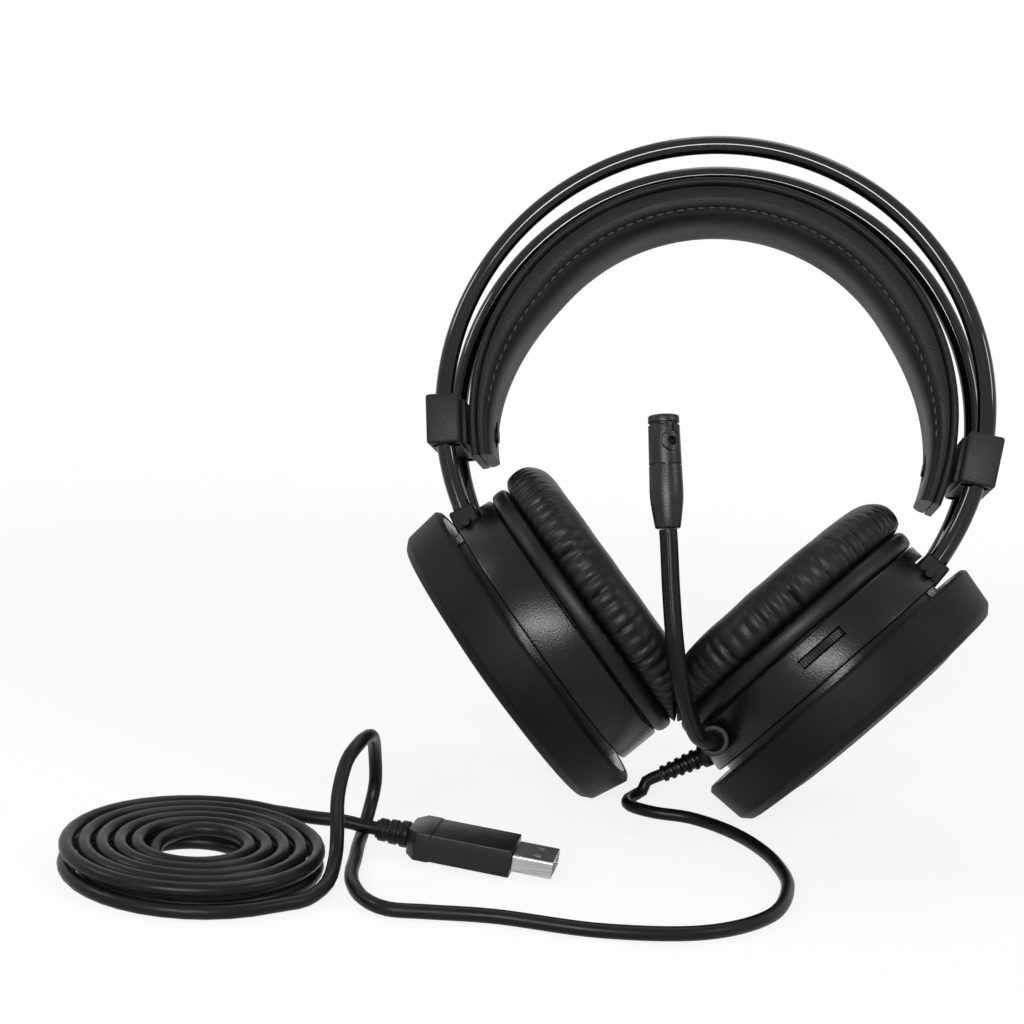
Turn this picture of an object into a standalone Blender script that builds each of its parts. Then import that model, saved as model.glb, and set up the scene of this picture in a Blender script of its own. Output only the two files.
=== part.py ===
"""Over-ear gaming headset: two steel rails, a sliding padded headband, two tilting ear cups,
a gooseneck microphone, a volume wheel and a coiled USB lead.

Lengths are millimetres, turned into Blender's metres by MM where a mesh is made.
The whole headset hangs on the empty `headset`, which leans it back. Its origin is the middle
of the headband's underside, where a head or a stand carries it.
"""

import math

import bmesh
import bpy
from mathutils import Matrix, Vector

MM = 0.001
GAP = 0.3  # between pieces that touch

# Stance
LEAN_DEG = 15.0  # the rails lean back from upright
CUP_TOE_DEG = 42.2  # each cup's disc leans in from upright at rest

# Rails
RAIL_ARC_R = 79.0
RAIL_R = 2.7
RAIL_SPACING = 28.0
RAIL_END_DEG = 121.6  # from the top of the arch
PIVOT_DEG = 123.0  # where the cups' hinge pins lie on the same arc
RAIL_STATIONS = 37

# Headband
BAND_R = 71.4  # outer face of the strap
BAND_DROP = 2.6  # the strap's centre lies under the rails' centre
BAND_END_DEG = 106.0
COVER_T = 2.2
COVER_W = 31.0
PAD_W = 29.0
PAD_BELLY = 10.1  # padding under the strap at mid width
PAD_EDGE = 2.4  # padding at its two long edges
BAND_STATIONS = 31
SEAT_R = BAND_R - COVER_T - GAP - PAD_BELLY - BAND_DROP  # underside of the padding
STUD_DEG = {-1: 99.4, 1: 96.5}  # the left slider sits lower on the rails
STUD_R = 2.0
STUD_HEAD_R = 3.4

# Sliders that hold the strap on the rails
SLIDER_DEG = {-1: 99.2, 1: 96.3}
SLIDER_OUT = 83.8
SLIDER_MID = 73.9
SLIDER_IN = 72.7
SLIDER_W = 37.0
SLIDER_TONGUE_W = 22.0
SLIDER_H = 15.0
SLIDER_SLOT = 4.15  # half the radial length of each rail slot
SLIDER_SLOT_SHIFT = -0.48
SLIDER_SLOT_W = 3.05  # half the slot's width

# Ear cups, measured along the cup's axis from the rim of the outer cap
CUP_R = 47.5
CUP_RIM_R = 49.2  # the cap flares towards its rim
CUP_DROP = 38.0  # pivot to the cup's centre
RIM_X = -5.2  # the cap's rim from the pivot, along the axis
CAP_DEPTH = 14.5
CAP_BEVEL = 2.4
CAP_WALL = 2.2
CAP_DOME = 1.6
BADGE_R = 23.0
RING_R = 29.0
HOUSING_R = 43.2
HOUSING_BACK = 1.8
HOUSING_FRONT = 14.2
HOUSING_WALL = 2.0
NECK_R = 40.5
FLANGE_R = 46.2
BAFFLE_T = 2.0
DRIVER_R = 20.0
SCREW_CIRCLE_R = 26.5
PAD_SEAT_FRONT = 20.0
PAD_FRONT = 33.4
PAD_R = 45.0
PAD_HOLE_R = 23.0
PLEATS = 24
PLEAT_DEPTH = 0.7
CUP_SEGMENTS = 36
INNER_SEGMENTS = 20  # pieces inside the cups

# Hinge block that joins the two rails inside each cup's notch
BLOCK_T = 7.6
BLOCK_H = 10.0
BLOCK_W = 39.0
SOCKET_BOTTOM = 1.4
PIN_R = 1.25
PIN_LENGTH = 47.0
NOTCH_W = 42.0
NOTCH_FLOOR = -8.4
NOTCH_BACK = 0.0
NOTCH_FRONT = 10.1
NOTCH_WALL = 1.4

# Volume wheel, on the right cup's front
WHEEL_R = 9.0
WHEEL_T = 2.2
WHEEL_X = 9.2
WHEEL_TEETH = 26
WHEEL_CENTRE_R = 33.6
SLOT_L = 15.0
SLOT_W = 3.0

# Microphone: its socket looks forward from low on the right cup; the boom's route is in headset places
MIC_SOCKET_X = 9.5
MIC_SOCKET_DROP = 38.5  # below the cup's middle
MIC_SOCKET_FACE = 27.6  # forward of the cup's middle
MIC_SOCKET_R = 4.3
BOOM_R = 2.45
BOOM_ROUTE = (
    (7.6, -33.0, -96.2),
    (4.1, -41.0, -90.0),
    (1.2, -48.0, -81.9),
    (-1.3, -52.3, -71.6),
    (-3.7, -53.6, -58.5),
    (-5.6, -54.2, -46.4),
    (-6.3, -54.4, -42.6),
)
CAPSULE_END = (-11.1, -54.6, -11.4)
CAPSULE_R = 4.6

# Cable relief on the right cup, and the cord
RELIEF_X = 7.5
RELIEF_DEG = -8.0
RELIEF_LEAN = 0.30  # its share of the cup's axis direction
RELIEF_L = 16.0
RELIEF_ROOT_R = 3.6
RELIEF_TIP_R = 2.5
CORD_R = 1.8
# The lead's places: across, towards the back, and up from the floor, from under the rails' centre
LEAD_ROUTE = (
    (-8.0, -21.0, 3.4),
    (-11.5, -25.5, 1.9),
    (-10.5, -32.0, 1.9),
    (-3.0, -35.5, 1.9),
    (7.0, -36.0, 1.9),
    (17.0, -42.0, 1.9),
    (25.5, -52.0, 1.9),
    (32.0, -66.0, 1.9),
    (35.0, -84.0, 1.9),
    (30.5, -106.0, 1.9),
    (15.0, -123.0, 1.9),
    (-9.0, -131.0, 1.9),
    (-34.0, -131.5, 1.9),
    (-50.0, -134.5, 1.9),
    (-60.0, -136.3, 1.9),
    (-66.8, -132.0, 1.9),
    (-71.4, -124.0, 1.9),
    (-73.8, -116.0, 1.9),
    (-75.2, -106.4, 1.9),
    (-76.8, -96.5, 1.9),
    (-77.6, -89.0, 2.6),
    (-77.5, -83.5, 6.5),
    (-77.0, -80.0, 14.0),
    (-77.2, -82.5, 23.0),
    (-76.8, -88.5, 29.0),
    (-76.8, -95.5, 31.2),
    (-77.6, -102.5, 30.8),
    (-79.0, -108.5, 27.5),
    (-79.3, -113.5, 20.0),
    (-77.9, -117.5, 13.0),
    (-76.8, -122.0, 7.5),
    (-76.6, -129.5, 3.6),
    (-79.4, -137.5, 2.0),
)
COIL_CENTRE = (-111.7, -123.0)
COIL_R = 33.5
COIL_START_DEG = -40.0
COIL_PITCH = 4.3  # from turn to turn, and from layer to layer
COIL_TURNS = 5.094  # in each of the two layers
COIL_STEPS = 17  # points in a turn
TAIL_ROUTE = (
    (-90.0, -93.4, 6.8),
    (-82.5, -93.4, 7.0),
)

# USB plug, lying beside the coil
PLUG_FROM = (-72.9, -92.7, 5.9)
PLUG_TO = (-24.9, -94.6, 3.6)
BOOT_L = 9.0
BOOT_RIBS = 3
BODY_L = 28.0
BODY_W = 15.0
BODY_H = 7.6
SHELL_L = 10.4
SHELL_W = 12.0
SHELL_H = 4.5
SHELL_T = 0.4


# Places and directions

def toe_matrix(side):
    """Pivot frame of a cup: X towards the ear, Z up its disc. side is -1 left, 1 right."""
    toe = math.radians(CUP_TOE_DEG)
    axis = Vector((-side * math.cos(toe), 0.0, math.sin(toe)))
    up = Vector((side * math.sin(toe), 0.0, math.cos(toe)))
    return Matrix((axis, up.cross(axis), up)).transposed().to_4x4()


def arc_point(degrees, radius, centre_z=0.0):
    """A point of the arch, from the rails' centre, at an angle from its top."""
    angle = math.radians(degrees)
    return Vector((radius * math.sin(angle), 0.0, radius * math.cos(angle) + centre_z))


ARC_CENTRE = Vector((0.0, 0.0, -SEAT_R))
LEAN = Matrix.Rotation(-math.radians(LEAN_DEG), 4, "X")
ARC_CENTRE_WORLD = LEAN @ ARC_CENTRE
HEAD_UP = Vector((0.0, 0.0, 1.0))


def cup_polar(x, radius, degrees, side):
    """A point in a cup's frame: x from the cap's rim, and an angle from its foot to the front."""
    angle = math.radians(degrees)
    return Vector((
        x + RIM_X,
        side * radius * math.sin(angle),
        -CUP_DROP - radius * math.cos(angle),
    ))


def pivot_place(side):
    point = arc_point(side * PIVOT_DEG, RAIL_ARC_R) + ARC_CENTRE
    return Matrix.Translation(point) @ toe_matrix(side)


def lowest_of_cups():
    """Height of the lowest point of the caps' edges, from the world's origin."""
    low = 0.0
    for x, radius in ((CAP_BEVEL - CAP_DEPTH, CUP_R), (-CAP_DEPTH, CUP_R - CAP_BEVEL)):
        for step in range(-60, 61):
            place = LEAN @ pivot_place(1) @ cup_polar(x, radius, step, 1)
            low = min(low, place.z)
    return low


FLOOR_Z = lowest_of_cups()


def floor_place(point):
    x, y, up = point
    return Vector((x + ARC_CENTRE_WORLD.x, y + ARC_CENTRE_WORLD.y, up + FLOOR_Z))


# Materials

def finish(name, colour, roughness, metallic=0.0):
    material = bpy.data.materials.new(name)
    material.use_nodes = True
    shader = material.node_tree.nodes["Principled BSDF"]
    shader.inputs["Base Color"].default_value = (*colour, 1.0)
    shader.inputs["Roughness"].default_value = roughness
    shader.inputs["Metallic"].default_value = metallic
    material.diffuse_color = (*colour, 1.0)
    return material


# Mesh helpers

def add_object(name, data, material, parent=None):
    shown = bpy.data.objects.new(name, data)
    bpy.context.scene.collection.objects.link(shown)
    if material:
        data.materials.append(material)
    if parent:
        shown.parent = parent
    return shown


def from_bmesh(name, mesh, material, parent=None, smooth_deg=35.0):
    bmesh.ops.recalc_face_normals(mesh, faces=mesh.faces[:])
    data = bpy.data.meshes.new(name)
    bmesh.ops.scale(mesh, vec=(MM, MM, MM), verts=mesh.verts[:])
    mesh.to_mesh(data)
    mesh.free()
    data.shade_smooth()
    data.set_sharp_from_angle(angle=math.radians(smooth_deg))
    return add_object(name, data, material, parent)


def loft(rings, closed_ends=True, wrap=False):
    """A skin over equal rings of points; wrap joins the last ring to the first."""
    mesh = bmesh.new()
    rows = [[mesh.verts.new(point) for point in ring] for ring in rings]
    count = len(rows[0])
    pairs = list(zip(rows, rows[1:]))
    if wrap:
        pairs.append((rows[-1], rows[0]))
    for near, far in pairs:
        for i in range(count):
            j = (i + 1) % count
            mesh.faces.new((near[i], near[j], far[j], far[i]))
    if closed_ends and not wrap:
        mesh.faces.new(rows[0])
        mesh.faces.new(rows[-1])
    return mesh


def turned(profile, segments=CUP_SEGMENTS, frame=Matrix(), ripple=None):
    """A closed outline of (along, radius) pairs turned about the frame's X axis."""
    mesh = bmesh.new()
    rows = []
    for along, radius in profile:
        if radius == 0.0:
            rows.append([mesh.verts.new(frame @ Vector((along, 0.0, 0.0)))])
            continue
        row = []
        for i in range(segments):
            angle = math.tau * i / segments
            swell = ripple(along, radius, angle) if ripple else 0.0
            reach = radius + swell
            row.append(mesh.verts.new(
                frame @ Vector((along, reach * math.sin(angle), reach * math.cos(angle)))
            ))
        rows.append(row)
    for near, far in zip(rows, rows[1:] + rows[:1]):
        for i in range(segments):
            j = (i + 1) % segments
            corners = [near[i % len(near)], near[j % len(near)], far[j % len(far)], far[i % len(far)]]
            face = list(dict.fromkeys(corners))
            if len(face) > 2:
                mesh.faces.new(face)
    return mesh


def prism(outline, low, high, frame=Matrix()):
    """An outline of (y, z) pairs drawn out along the frame's X from low to high."""
    rings = [[frame @ Vector((x, y, z)) for y, z in outline] for x in (low, high)]
    return loft(rings)


def box(low, high, frame=Matrix()):
    outline = ((low[1], low[2]), (high[1], low[2]), (high[1], high[2]), (low[1], high[2]))
    return prism(outline, low[0], high[0], frame)


def aim(origin, direction):
    """A frame at origin whose X runs along direction."""
    return Matrix.Translation(origin) @ Vector(direction).to_track_quat("X", "Z").to_matrix().to_4x4()


def apply_boolean(target, cutter_mesh, operation="DIFFERENCE"):
    """Joins a mesh to an object, or cuts it away, in the object's own frame."""
    cutter = from_bmesh(target.name + "_cutter", cutter_mesh, None)
    cutter.hide_render = True
    cutter.display_type = "WIRE"
    modifier = target.modifiers.new("shape", "BOOLEAN")
    modifier.operation = operation
    modifier.solver = "EXACT"
    cutter.matrix_world = target.matrix_world
    modifier.object = cutter
    bake(target)
    bpy.data.objects.remove(cutter)


def bake(target):
    """Makes an object's modifiers part of its mesh."""
    bpy.context.view_layer.update()
    graph = bpy.context.evaluated_depsgraph_get()
    shaped = bpy.data.meshes.new_from_object(target.evaluated_get(graph))
    target.modifiers.clear()
    target.data = shaped


def chamfer(target, width):
    modifier = target.modifiers.new("edge", "BEVEL")
    modifier.width = width * MM
    modifier.segments = 1
    modifier.limit_method = "ANGLE"
    modifier.angle_limit = math.radians(40.0)
    bake(target)


def smooth_route(points, step):
    """Points about step apart on a smooth curve through the given points."""
    points = [Vector(p) for p in points]
    padded = [points[0] * 2 - points[1]] + points + [points[-1] * 2 - points[-2]]
    route = []
    for a, b, c, d in zip(padded, padded[1:], padded[2:], padded[3:]):
        pieces = max(1, round((c - b).length / step))
        for i in range(pieces):
            t = i / pieces
            route.append(
                b
                + (c - a) * (0.5 * t)
                + (a * 2 - b * 5 + c * 4 - d) * (0.5 * t * t)
                + (b * 3 - a - c * 3 + d) * (0.5 * t ** 3)
            )
    route.append(points[-1])
    return route


def tube(name, route, radius, resolution, material, parent=None):
    curve = bpy.data.curves.new(name, "CURVE")
    curve.dimensions = "3D"
    curve.bevel_depth = radius * MM
    curve.bevel_resolution = resolution
    curve.use_fill_caps = True
    spline = curve.splines.new("POLY")
    spline.points.add(len(route) - 1)
    for knot, place in zip(spline.points, route):
        knot.co = (*(Vector(place) * MM), 1.0)
    spline.use_smooth = True
    return add_object(name, curve, material, parent)


def empty(name, place, parent=None):
    guide = bpy.data.objects.new(name, None)
    bpy.context.scene.collection.objects.link(guide)
    if parent:
        guide.parent = parent
    turned_place = place.copy()
    turned_place.translation = place.translation * MM
    guide.matrix_local = turned_place
    return guide


# Rails and headband

def make_rails(parent, paint):
    for name, y in (("front_rail", -RAIL_SPACING / 2), ("rear_rail", RAIL_SPACING / 2)):
        route = []
        for i in range(RAIL_STATIONS):
            degrees = RAIL_END_DEG * (2 * i / (RAIL_STATIONS - 1) - 1)
            route.append(arc_point(degrees, RAIL_ARC_R) + ARC_CENTRE + Vector((0.0, y, 0.0)))
        tube(name, route, RAIL_R, 3, paint, parent)


def band_rings(section):
    """Rings along the strap; section gives (inward, y) pairs for a share 0 mid to 1 end."""
    rings = []
    for i in range(BAND_STATIONS):
        share = 2 * i / (BAND_STATIONS - 1) - 1
        degrees = BAND_END_DEG * share
        ring = []
        for inward, y in section(abs(share)):
            place = arc_point(degrees, BAND_R - inward, -BAND_DROP) + ARC_CENTRE
            ring.append(place + Vector((0.0, y, 0.0)))
        rings.append(ring)
    return rings


def cover_section(share):
    half = COVER_W / 2 * (1.0 - 0.16 * max(0.0, share - 0.8) / 0.2)
    lip = 0.7
    return (
        (0.0, -half + lip), (0.0, half - lip),
        (lip, half), (COVER_T - lip, half),
        (COVER_T, half - lip), (COVER_T, -half + lip),
        (COVER_T - lip, -half), (lip, -half),
    )


def pad_section(share):
    """A crowned belly between two thin sewn edges, tapering to the strap's ends."""
    fade = 1.0 - 0.62 * max(0.0, share - 0.55) / 0.45
    half = PAD_W / 2 * (1.0 - 0.16 * max(0.0, share - 0.8) / 0.2)
    top = COVER_T + GAP
    points = [(top, -half), (top, half)]
    for t in (1.0, 0.8, 0.45, 0.0, -0.45, -0.8, -1.0):
        depth = PAD_EDGE + (PAD_BELLY - PAD_EDGE) * math.sqrt(1.0 - 0.98 * t ** 4)
        points.append((top + depth * fade, t * half))
    return points


def eyelets(length):
    """Oval holes through both ends of the strap, one mesh."""
    mesh = bmesh.new()
    for side in (-1, 1):
        angle = side * STUD_DEG[side]
        place = arc_point(angle, BAND_R - 20.0, -BAND_DROP) + ARC_CENTRE
        outward = arc_point(angle, 1.0)
        frame = aim(place, outward)
        oval = []
        for i in range(12):
            angle = math.tau * i / 12
            oval.append((3.0 * math.cos(angle), 4.2 * math.sin(angle)))
        rings = [[frame @ Vector((x, y, z)) for y, z in oval] for x in (0.0, length)]
        rows = [[mesh.verts.new(point) for point in ring] for ring in rings]
        for i in range(12):
            j = (i + 1) % 12
            mesh.faces.new((rows[0][i], rows[0][j], rows[1][j], rows[1][i]))
        mesh.faces.new(rows[0])
        mesh.faces.new(rows[1])
    return mesh


def make_headband(parent, leather, plastic, steel):
    for name, section in (("headband_cover", cover_section), ("headband_pad", pad_section)):
        strap = from_bmesh(name, loft(band_rings(section)), leather)
        apply_boolean(strap, eyelets(40.0))
        strap.parent = parent
    for side, word in ((-1, "left"), (1, "right")):
        make_slider(word + "_slider", side, parent, plastic)
        make_stud(word + "_strap_stud", side, parent, steel)


def make_slider(name, side, parent, plastic):
    middle = arc_point(side * SLIDER_DEG[side], RAIL_ARC_R) + ARC_CENTRE
    outward = arc_point(side * SLIDER_DEG[side], 1.0)
    along = Vector((0.0, 1.0, 0.0)).cross(outward)
    frame = Matrix((along, Vector((0.0, 1.0, 0.0)), outward)).transposed().to_4x4()
    frame.translation = middle
    wide, narrow = SLIDER_W / 2, SLIDER_TONGUE_W / 2
    out, mid, inner = (r - RAIL_ARC_R for r in (SLIDER_OUT, SLIDER_MID, SLIDER_IN))
    outline = (
        (-wide, out), (wide, out), (wide, mid), (narrow, mid),
        (narrow, inner), (-narrow, inner), (-narrow, mid), (-wide, mid),
    )
    slider = from_bmesh(name, prism(outline, -SLIDER_H / 2, SLIDER_H / 2, frame), plastic)
    chamfer(slider, 0.5)
    for y in (-RAIL_SPACING / 2, RAIL_SPACING / 2):
        slot = []
        for i in range(16):
            angle = math.tau * i / 16
            bow = (SLIDER_SLOT - SLIDER_SLOT_W) * math.copysign(1.0, math.sin(angle + 0.01))
            slot.append((
                y + SLIDER_SLOT_W * math.cos(angle),
                SLIDER_SLOT_SHIFT + SLIDER_SLOT_W * math.sin(angle) + bow,
            ))
        apply_boolean(slider, prism(slot, -SLIDER_H, SLIDER_H, frame))
    slider.parent = parent


def make_stud(name, side, parent, steel):
    """A stud from the slider's tongue through the strap's eyelet."""
    outward = arc_point(side * STUD_DEG[side], 1.0)
    start = arc_point(side * STUD_DEG[side], BAND_R, -BAND_DROP) + ARC_CENTRE
    length, head = 6.2, 1.2
    profile = (
        (0.55, 0.0), (0.55, STUD_R), (-length, STUD_R), (-length, STUD_HEAD_R - 0.8),
        (-length - head, STUD_HEAD_R - 0.8), (-length - head, 0.0),
    )
    mesh = turned(profile, 12, aim(start, outward))
    from_bmesh(name, mesh, steel, parent)


# Ear cups

def about_cup(extra=Matrix()):
    """The cup's own axis, with X counted from the cap's rim."""
    return Matrix.Translation((RIM_X, 0.0, -CUP_DROP)) @ extra


def cap_profile():
    back = -CAP_DEPTH
    face = back - CAP_DOME
    wall = CAP_WALL
    return (
        (0.0, CUP_RIM_R), (back + CAP_BEVEL, CUP_R), (back, CUP_R - CAP_BEVEL),
        (face + 0.4, RING_R + 3.0), (face, RING_R + 0.8), (face + 1.8, RING_R + 0.6),
        (face + 1.8, 0.0), (face + 1.8 + wall, 0.0), (face + 1.8 + wall, RING_R),
        (back + wall, CUP_R - CAP_BEVEL - wall), (back + wall + CAP_BEVEL, CUP_R - wall),
        (0.0, CUP_RIM_R - wall),
    )


def housing_profile():
    wall = HOUSING_WALL
    front_r = HOUSING_R - 0.8
    return (
        (-2.2, FLANGE_R), (-2.2, NECK_R - wall), (HOUSING_BACK + wall, NECK_R - wall),
        (HOUSING_BACK + wall, HOUSING_R - wall), (HOUSING_FRONT, front_r - wall),
        (HOUSING_FRONT, front_r), (HOUSING_BACK + 0.6, HOUSING_R), (HOUSING_BACK, HOUSING_R - 0.6),
        (HOUSING_BACK, NECK_R), (-0.2, NECK_R), (-0.2, FLANGE_R),
    )


def notch_block():
    """Walls around the hinge block's notch, under the housing's round top."""
    half = NOTCH_W / 2 + NOTCH_WALL
    reach = HOUSING_R - HOUSING_WALL / 2
    edge = math.asin(half / reach)
    outline = [(-half, NOTCH_FLOOR - NOTCH_WALL), (half, NOTCH_FLOOR - NOTCH_WALL)]
    for i in range(9):
        angle = edge * (1 - 2 * i / 8)
        outline.append((reach * math.sin(angle), reach * math.cos(angle) - CUP_DROP))
    return prism(outline, NOTCH_BACK - 1.5 + RIM_X, NOTCH_FRONT + NOTCH_WALL + RIM_X)


def notch_space():
    half = NOTCH_W / 2
    return box((NOTCH_BACK + RIM_X, -half, NOTCH_FLOOR), (NOTCH_FRONT + RIM_X, half, 12.0))


def pin_hole(radius):
    return turned(
        ((-PIN_LENGTH, 0.0), (-PIN_LENGTH, radius), (PIN_LENGTH, radius), (PIN_LENGTH, 0.0)),
        12,
        aim((0.0, 0.0, 0.0), (0.0, 1.0, 0.0)),
    )


def rod(radius, start, direction, length, segments=16):
    profile = ((0.0, 0.0), (0.0, radius), (length, radius), (length, 0.0))
    return turned(profile, segments, aim(start, direction))


def mic_socket_frame():
    """In the right cup's frame: the middle of the socket's face, which looks forward."""
    middle = (MIC_SOCKET_X + RIM_X, MIC_SOCKET_FACE, -CUP_DROP - MIC_SOCKET_DROP)
    return aim(middle, (0.0, 1.0, 0.0))


def relief_frame():
    start = cup_polar(RELIEF_X, HOUSING_R - 1.2, RELIEF_DEG, 1)
    outward = (cup_polar(RELIEF_X, HOUSING_R, RELIEF_DEG, 1) - start).normalized()
    return aim(start, outward + Vector((RELIEF_LEAN, 0.0, 0.0)))


def wheel_frame():
    return Matrix.Translation(cup_polar(WHEEL_X, WHEEL_CENTRE_R, 90.0, 1))


def make_housing(word, side, parent, plastic):
    housing = from_bmesh(word + "_inner_housing", turned(housing_profile(), frame=about_cup()), plastic)
    apply_boolean(housing, notch_block(), "UNION")
    apply_boolean(housing, notch_space())
    apply_boolean(housing, pin_hole(PIN_R + GAP))
    if side == 1:
        socket = mic_socket_frame()
        bore = BOOM_R + 0.35 + GAP
        apply_boolean(housing, rod(bore, socket @ Vector((-8.2, 0, 0)), socket.col[0][:3], 12.0))
        relief = relief_frame()
        start, way = relief @ Vector((-5.0, 0, 0)), relief.col[0][:3]
        apply_boolean(housing, rod(RELIEF_ROOT_R + GAP, start, way, 12.0))
        low = (-SLOT_W / 2, WHEEL_R - 4.0, -SLOT_L / 2)
        high = (SLOT_W / 2, WHEEL_R + 4.0, SLOT_L / 2)
        slot = box(low, high, wheel_frame())
        apply_boolean(housing, slot)
    housing.parent = parent


def make_baffle(word, parent, plastic, steel):
    front = HOUSING_FRONT - 0.4
    reach = HOUSING_R - HOUSING_WALL - 1.2
    profile = (
        (front, DRIVER_R - 3.0), (front, reach), (front - BAFFLE_T, reach),
        (front - BAFFLE_T, DRIVER_R - 3.0),
    )
    baffle = from_bmesh(word + "_baffle", turned(profile, INNER_SEGMENTS, about_cup()), plastic)
    for number, degrees in enumerate((30.0, 150.0, 270.0), 1):
        middle = cup_polar(front - BAFFLE_T - 1.0, SCREW_CIRCLE_R, degrees, 1)
        apply_boolean(baffle, rod(1.3, middle, (1.0, 0.0, 0.0), 6.0, 8))
        profile = (
            (-1.6, 0.0), (-1.6, 1.0), (BAFFLE_T + 1.3, 1.0), (BAFFLE_T + 1.3, 2.2),
            (BAFFLE_T + 1.9, 1.8), (BAFFLE_T + 1.9, 0.0),
        )
        screw = turned(profile, 6, aim(middle, (1.0, 0.0, 0.0)))
        from_bmesh(f"{word}_baffle_screw_{number}", screw, steel, parent)
    baffle.parent = parent


def make_driver(word, parent, frame_plastic, steel):
    front = HOUSING_FRONT - 0.4 - BAFFLE_T - GAP
    basket = (
        (front, DRIVER_R - 3.5), (front, DRIVER_R), (front - 2.4, DRIVER_R),
        (front - 4.4, 13.0), (front - 4.4, 11.2), (front - 2.8, 12.0), (front - 1.9, DRIVER_R - 3.5),
    )
    from_bmesh(word + "_driver_basket", turned(basket, INNER_SEGMENTS, about_cup()), frame_plastic, parent)
    magnet = (
        (front - 4.0, 0.0), (front - 4.0, 10.6), (front - 8.4, 10.6), (front - 8.4, 0.0),
    )
    from_bmesh(word + "_driver_magnet", turned(magnet, INNER_SEGMENTS, about_cup()), steel, parent)
    cone = (
        (front - 0.4, DRIVER_R - 3.9), (front - 1.4, 6.0), (front - 0.6, 0.0),
        (front - 1.6, 0.0), (front - 2.4, 6.0), (front - 1.2, DRIVER_R - 3.9),
    )
    from_bmesh(word + "_diaphragm", turned(cone, INNER_SEGMENTS, about_cup()), frame_plastic, parent)


def pad_profile():
    """A crowned ring: sewn in at its foot, full at its outer side, round over to the ear hole."""
    foot = PAD_SEAT_FRONT + GAP
    depth = PAD_FRONT - foot
    return (
        (foot, PAD_R - 5.2), (foot + 0.16 * depth, PAD_R - 1.6), (foot + 0.42 * depth, PAD_R),
        (foot + 0.72 * depth, PAD_R - 2.4), (foot + 0.93 * depth, PAD_R - 6.8),
        (PAD_FRONT, PAD_R - 11.5), (foot + 0.95 * depth, PAD_R - 16.0),
        (foot + 0.70 * depth, PAD_HOLE_R + 1.8), (foot + 0.35 * depth, PAD_HOLE_R),
        (foot, PAD_HOLE_R + 1.0),
    )


def pleat(along, radius, angle):
    """Gathers around the pad's outer side, deepest at the foot and gone at the crown."""
    share = (along - PAD_SEAT_FRONT) / (PAD_FRONT - PAD_SEAT_FRONT)
    if radius < PAD_R - 9.0 or share > 0.85:
        return 0.0
    return -PLEAT_DEPTH * (1.0 - share) * (1.0 + math.cos(PLEATS * angle))


def make_pad(word, side, parent, leather, cloth):
    seat = (
        (HOUSING_FRONT + GAP, HOUSING_R - 2.0), (PAD_SEAT_FRONT - 3.0, PAD_R - 2.6),
        (PAD_SEAT_FRONT - 1.0, PAD_R - 3.6), (PAD_SEAT_FRONT, PAD_R - 5.4),
        (PAD_SEAT_FRONT, 30.5), (HOUSING_FRONT + GAP, 30.5),
    )
    from_bmesh(word + "_pad_skirt", turned(seat, frame=about_cup()), leather, parent)
    pad = from_bmesh(word + "_ear_pad", turned(pad_profile(), PLEATS * 3, about_cup(), pleat), leather)
    # The two pads press flat on each other where they meet, at the headset's middle.
    middle = pivot_place(side).inverted() @ Matrix.Translation(ARC_CENTRE)
    press = box((-60.0 * (side == 1) - 0.25, -80, -160), (60.0 * (side == -1) + 0.25, 80, 60), middle)
    apply_boolean(pad, press)
    pad.parent = parent
    mesh_front = HOUSING_FRONT + 2.4
    screen = (
        (mesh_front, 0.0), (mesh_front, 29.5), (mesh_front - 0.8, 30.0), (mesh_front - 0.8, 0.0),
    )
    from_bmesh(word + "_ear_mesh", turned(screen, INNER_SEGMENTS, about_cup()), cloth, parent)


def make_cup(word, side, pivot, finishes):
    plastic, leather, cloth, steel, lens, board = finishes
    cap = from_bmesh(word + "_outer_cap", turned(cap_profile(), frame=about_cup()), plastic)
    cap.parent = pivot
    face = -CAP_DEPTH - CAP_DOME
    ring = (
        (face + 0.3, BADGE_R + 0.5), (face + 0.3, RING_R), (face + 1.5, RING_R), (face + 1.5, BADGE_R + 0.5),
    )
    from_bmesh(word + "_light_ring", turned(ring, frame=about_cup()), lens, pivot)
    badge = (
        (face + 0.1, 0.0), (face + 0.1, BADGE_R - 1.0), (face + 0.6, BADGE_R),
        (face + 1.5, BADGE_R), (face + 1.5, 0.0),
    )
    from_bmesh(word + "_cap_disc", turned(badge, frame=about_cup()), plastic, pivot)
    led = ((-10.6, 12.0), (-10.6, 27.0), (-9.4, 27.0), (-9.4, 12.0))
    from_bmesh(word + "_led_board", turned(led, INNER_SEGMENTS, about_cup()), board, pivot)
    make_housing(word, side, pivot, plastic)
    make_baffle(word, pivot, plastic, steel)
    make_driver(word, pivot, plastic, steel)
    make_pad(word, side, pivot, leather, cloth)


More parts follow.
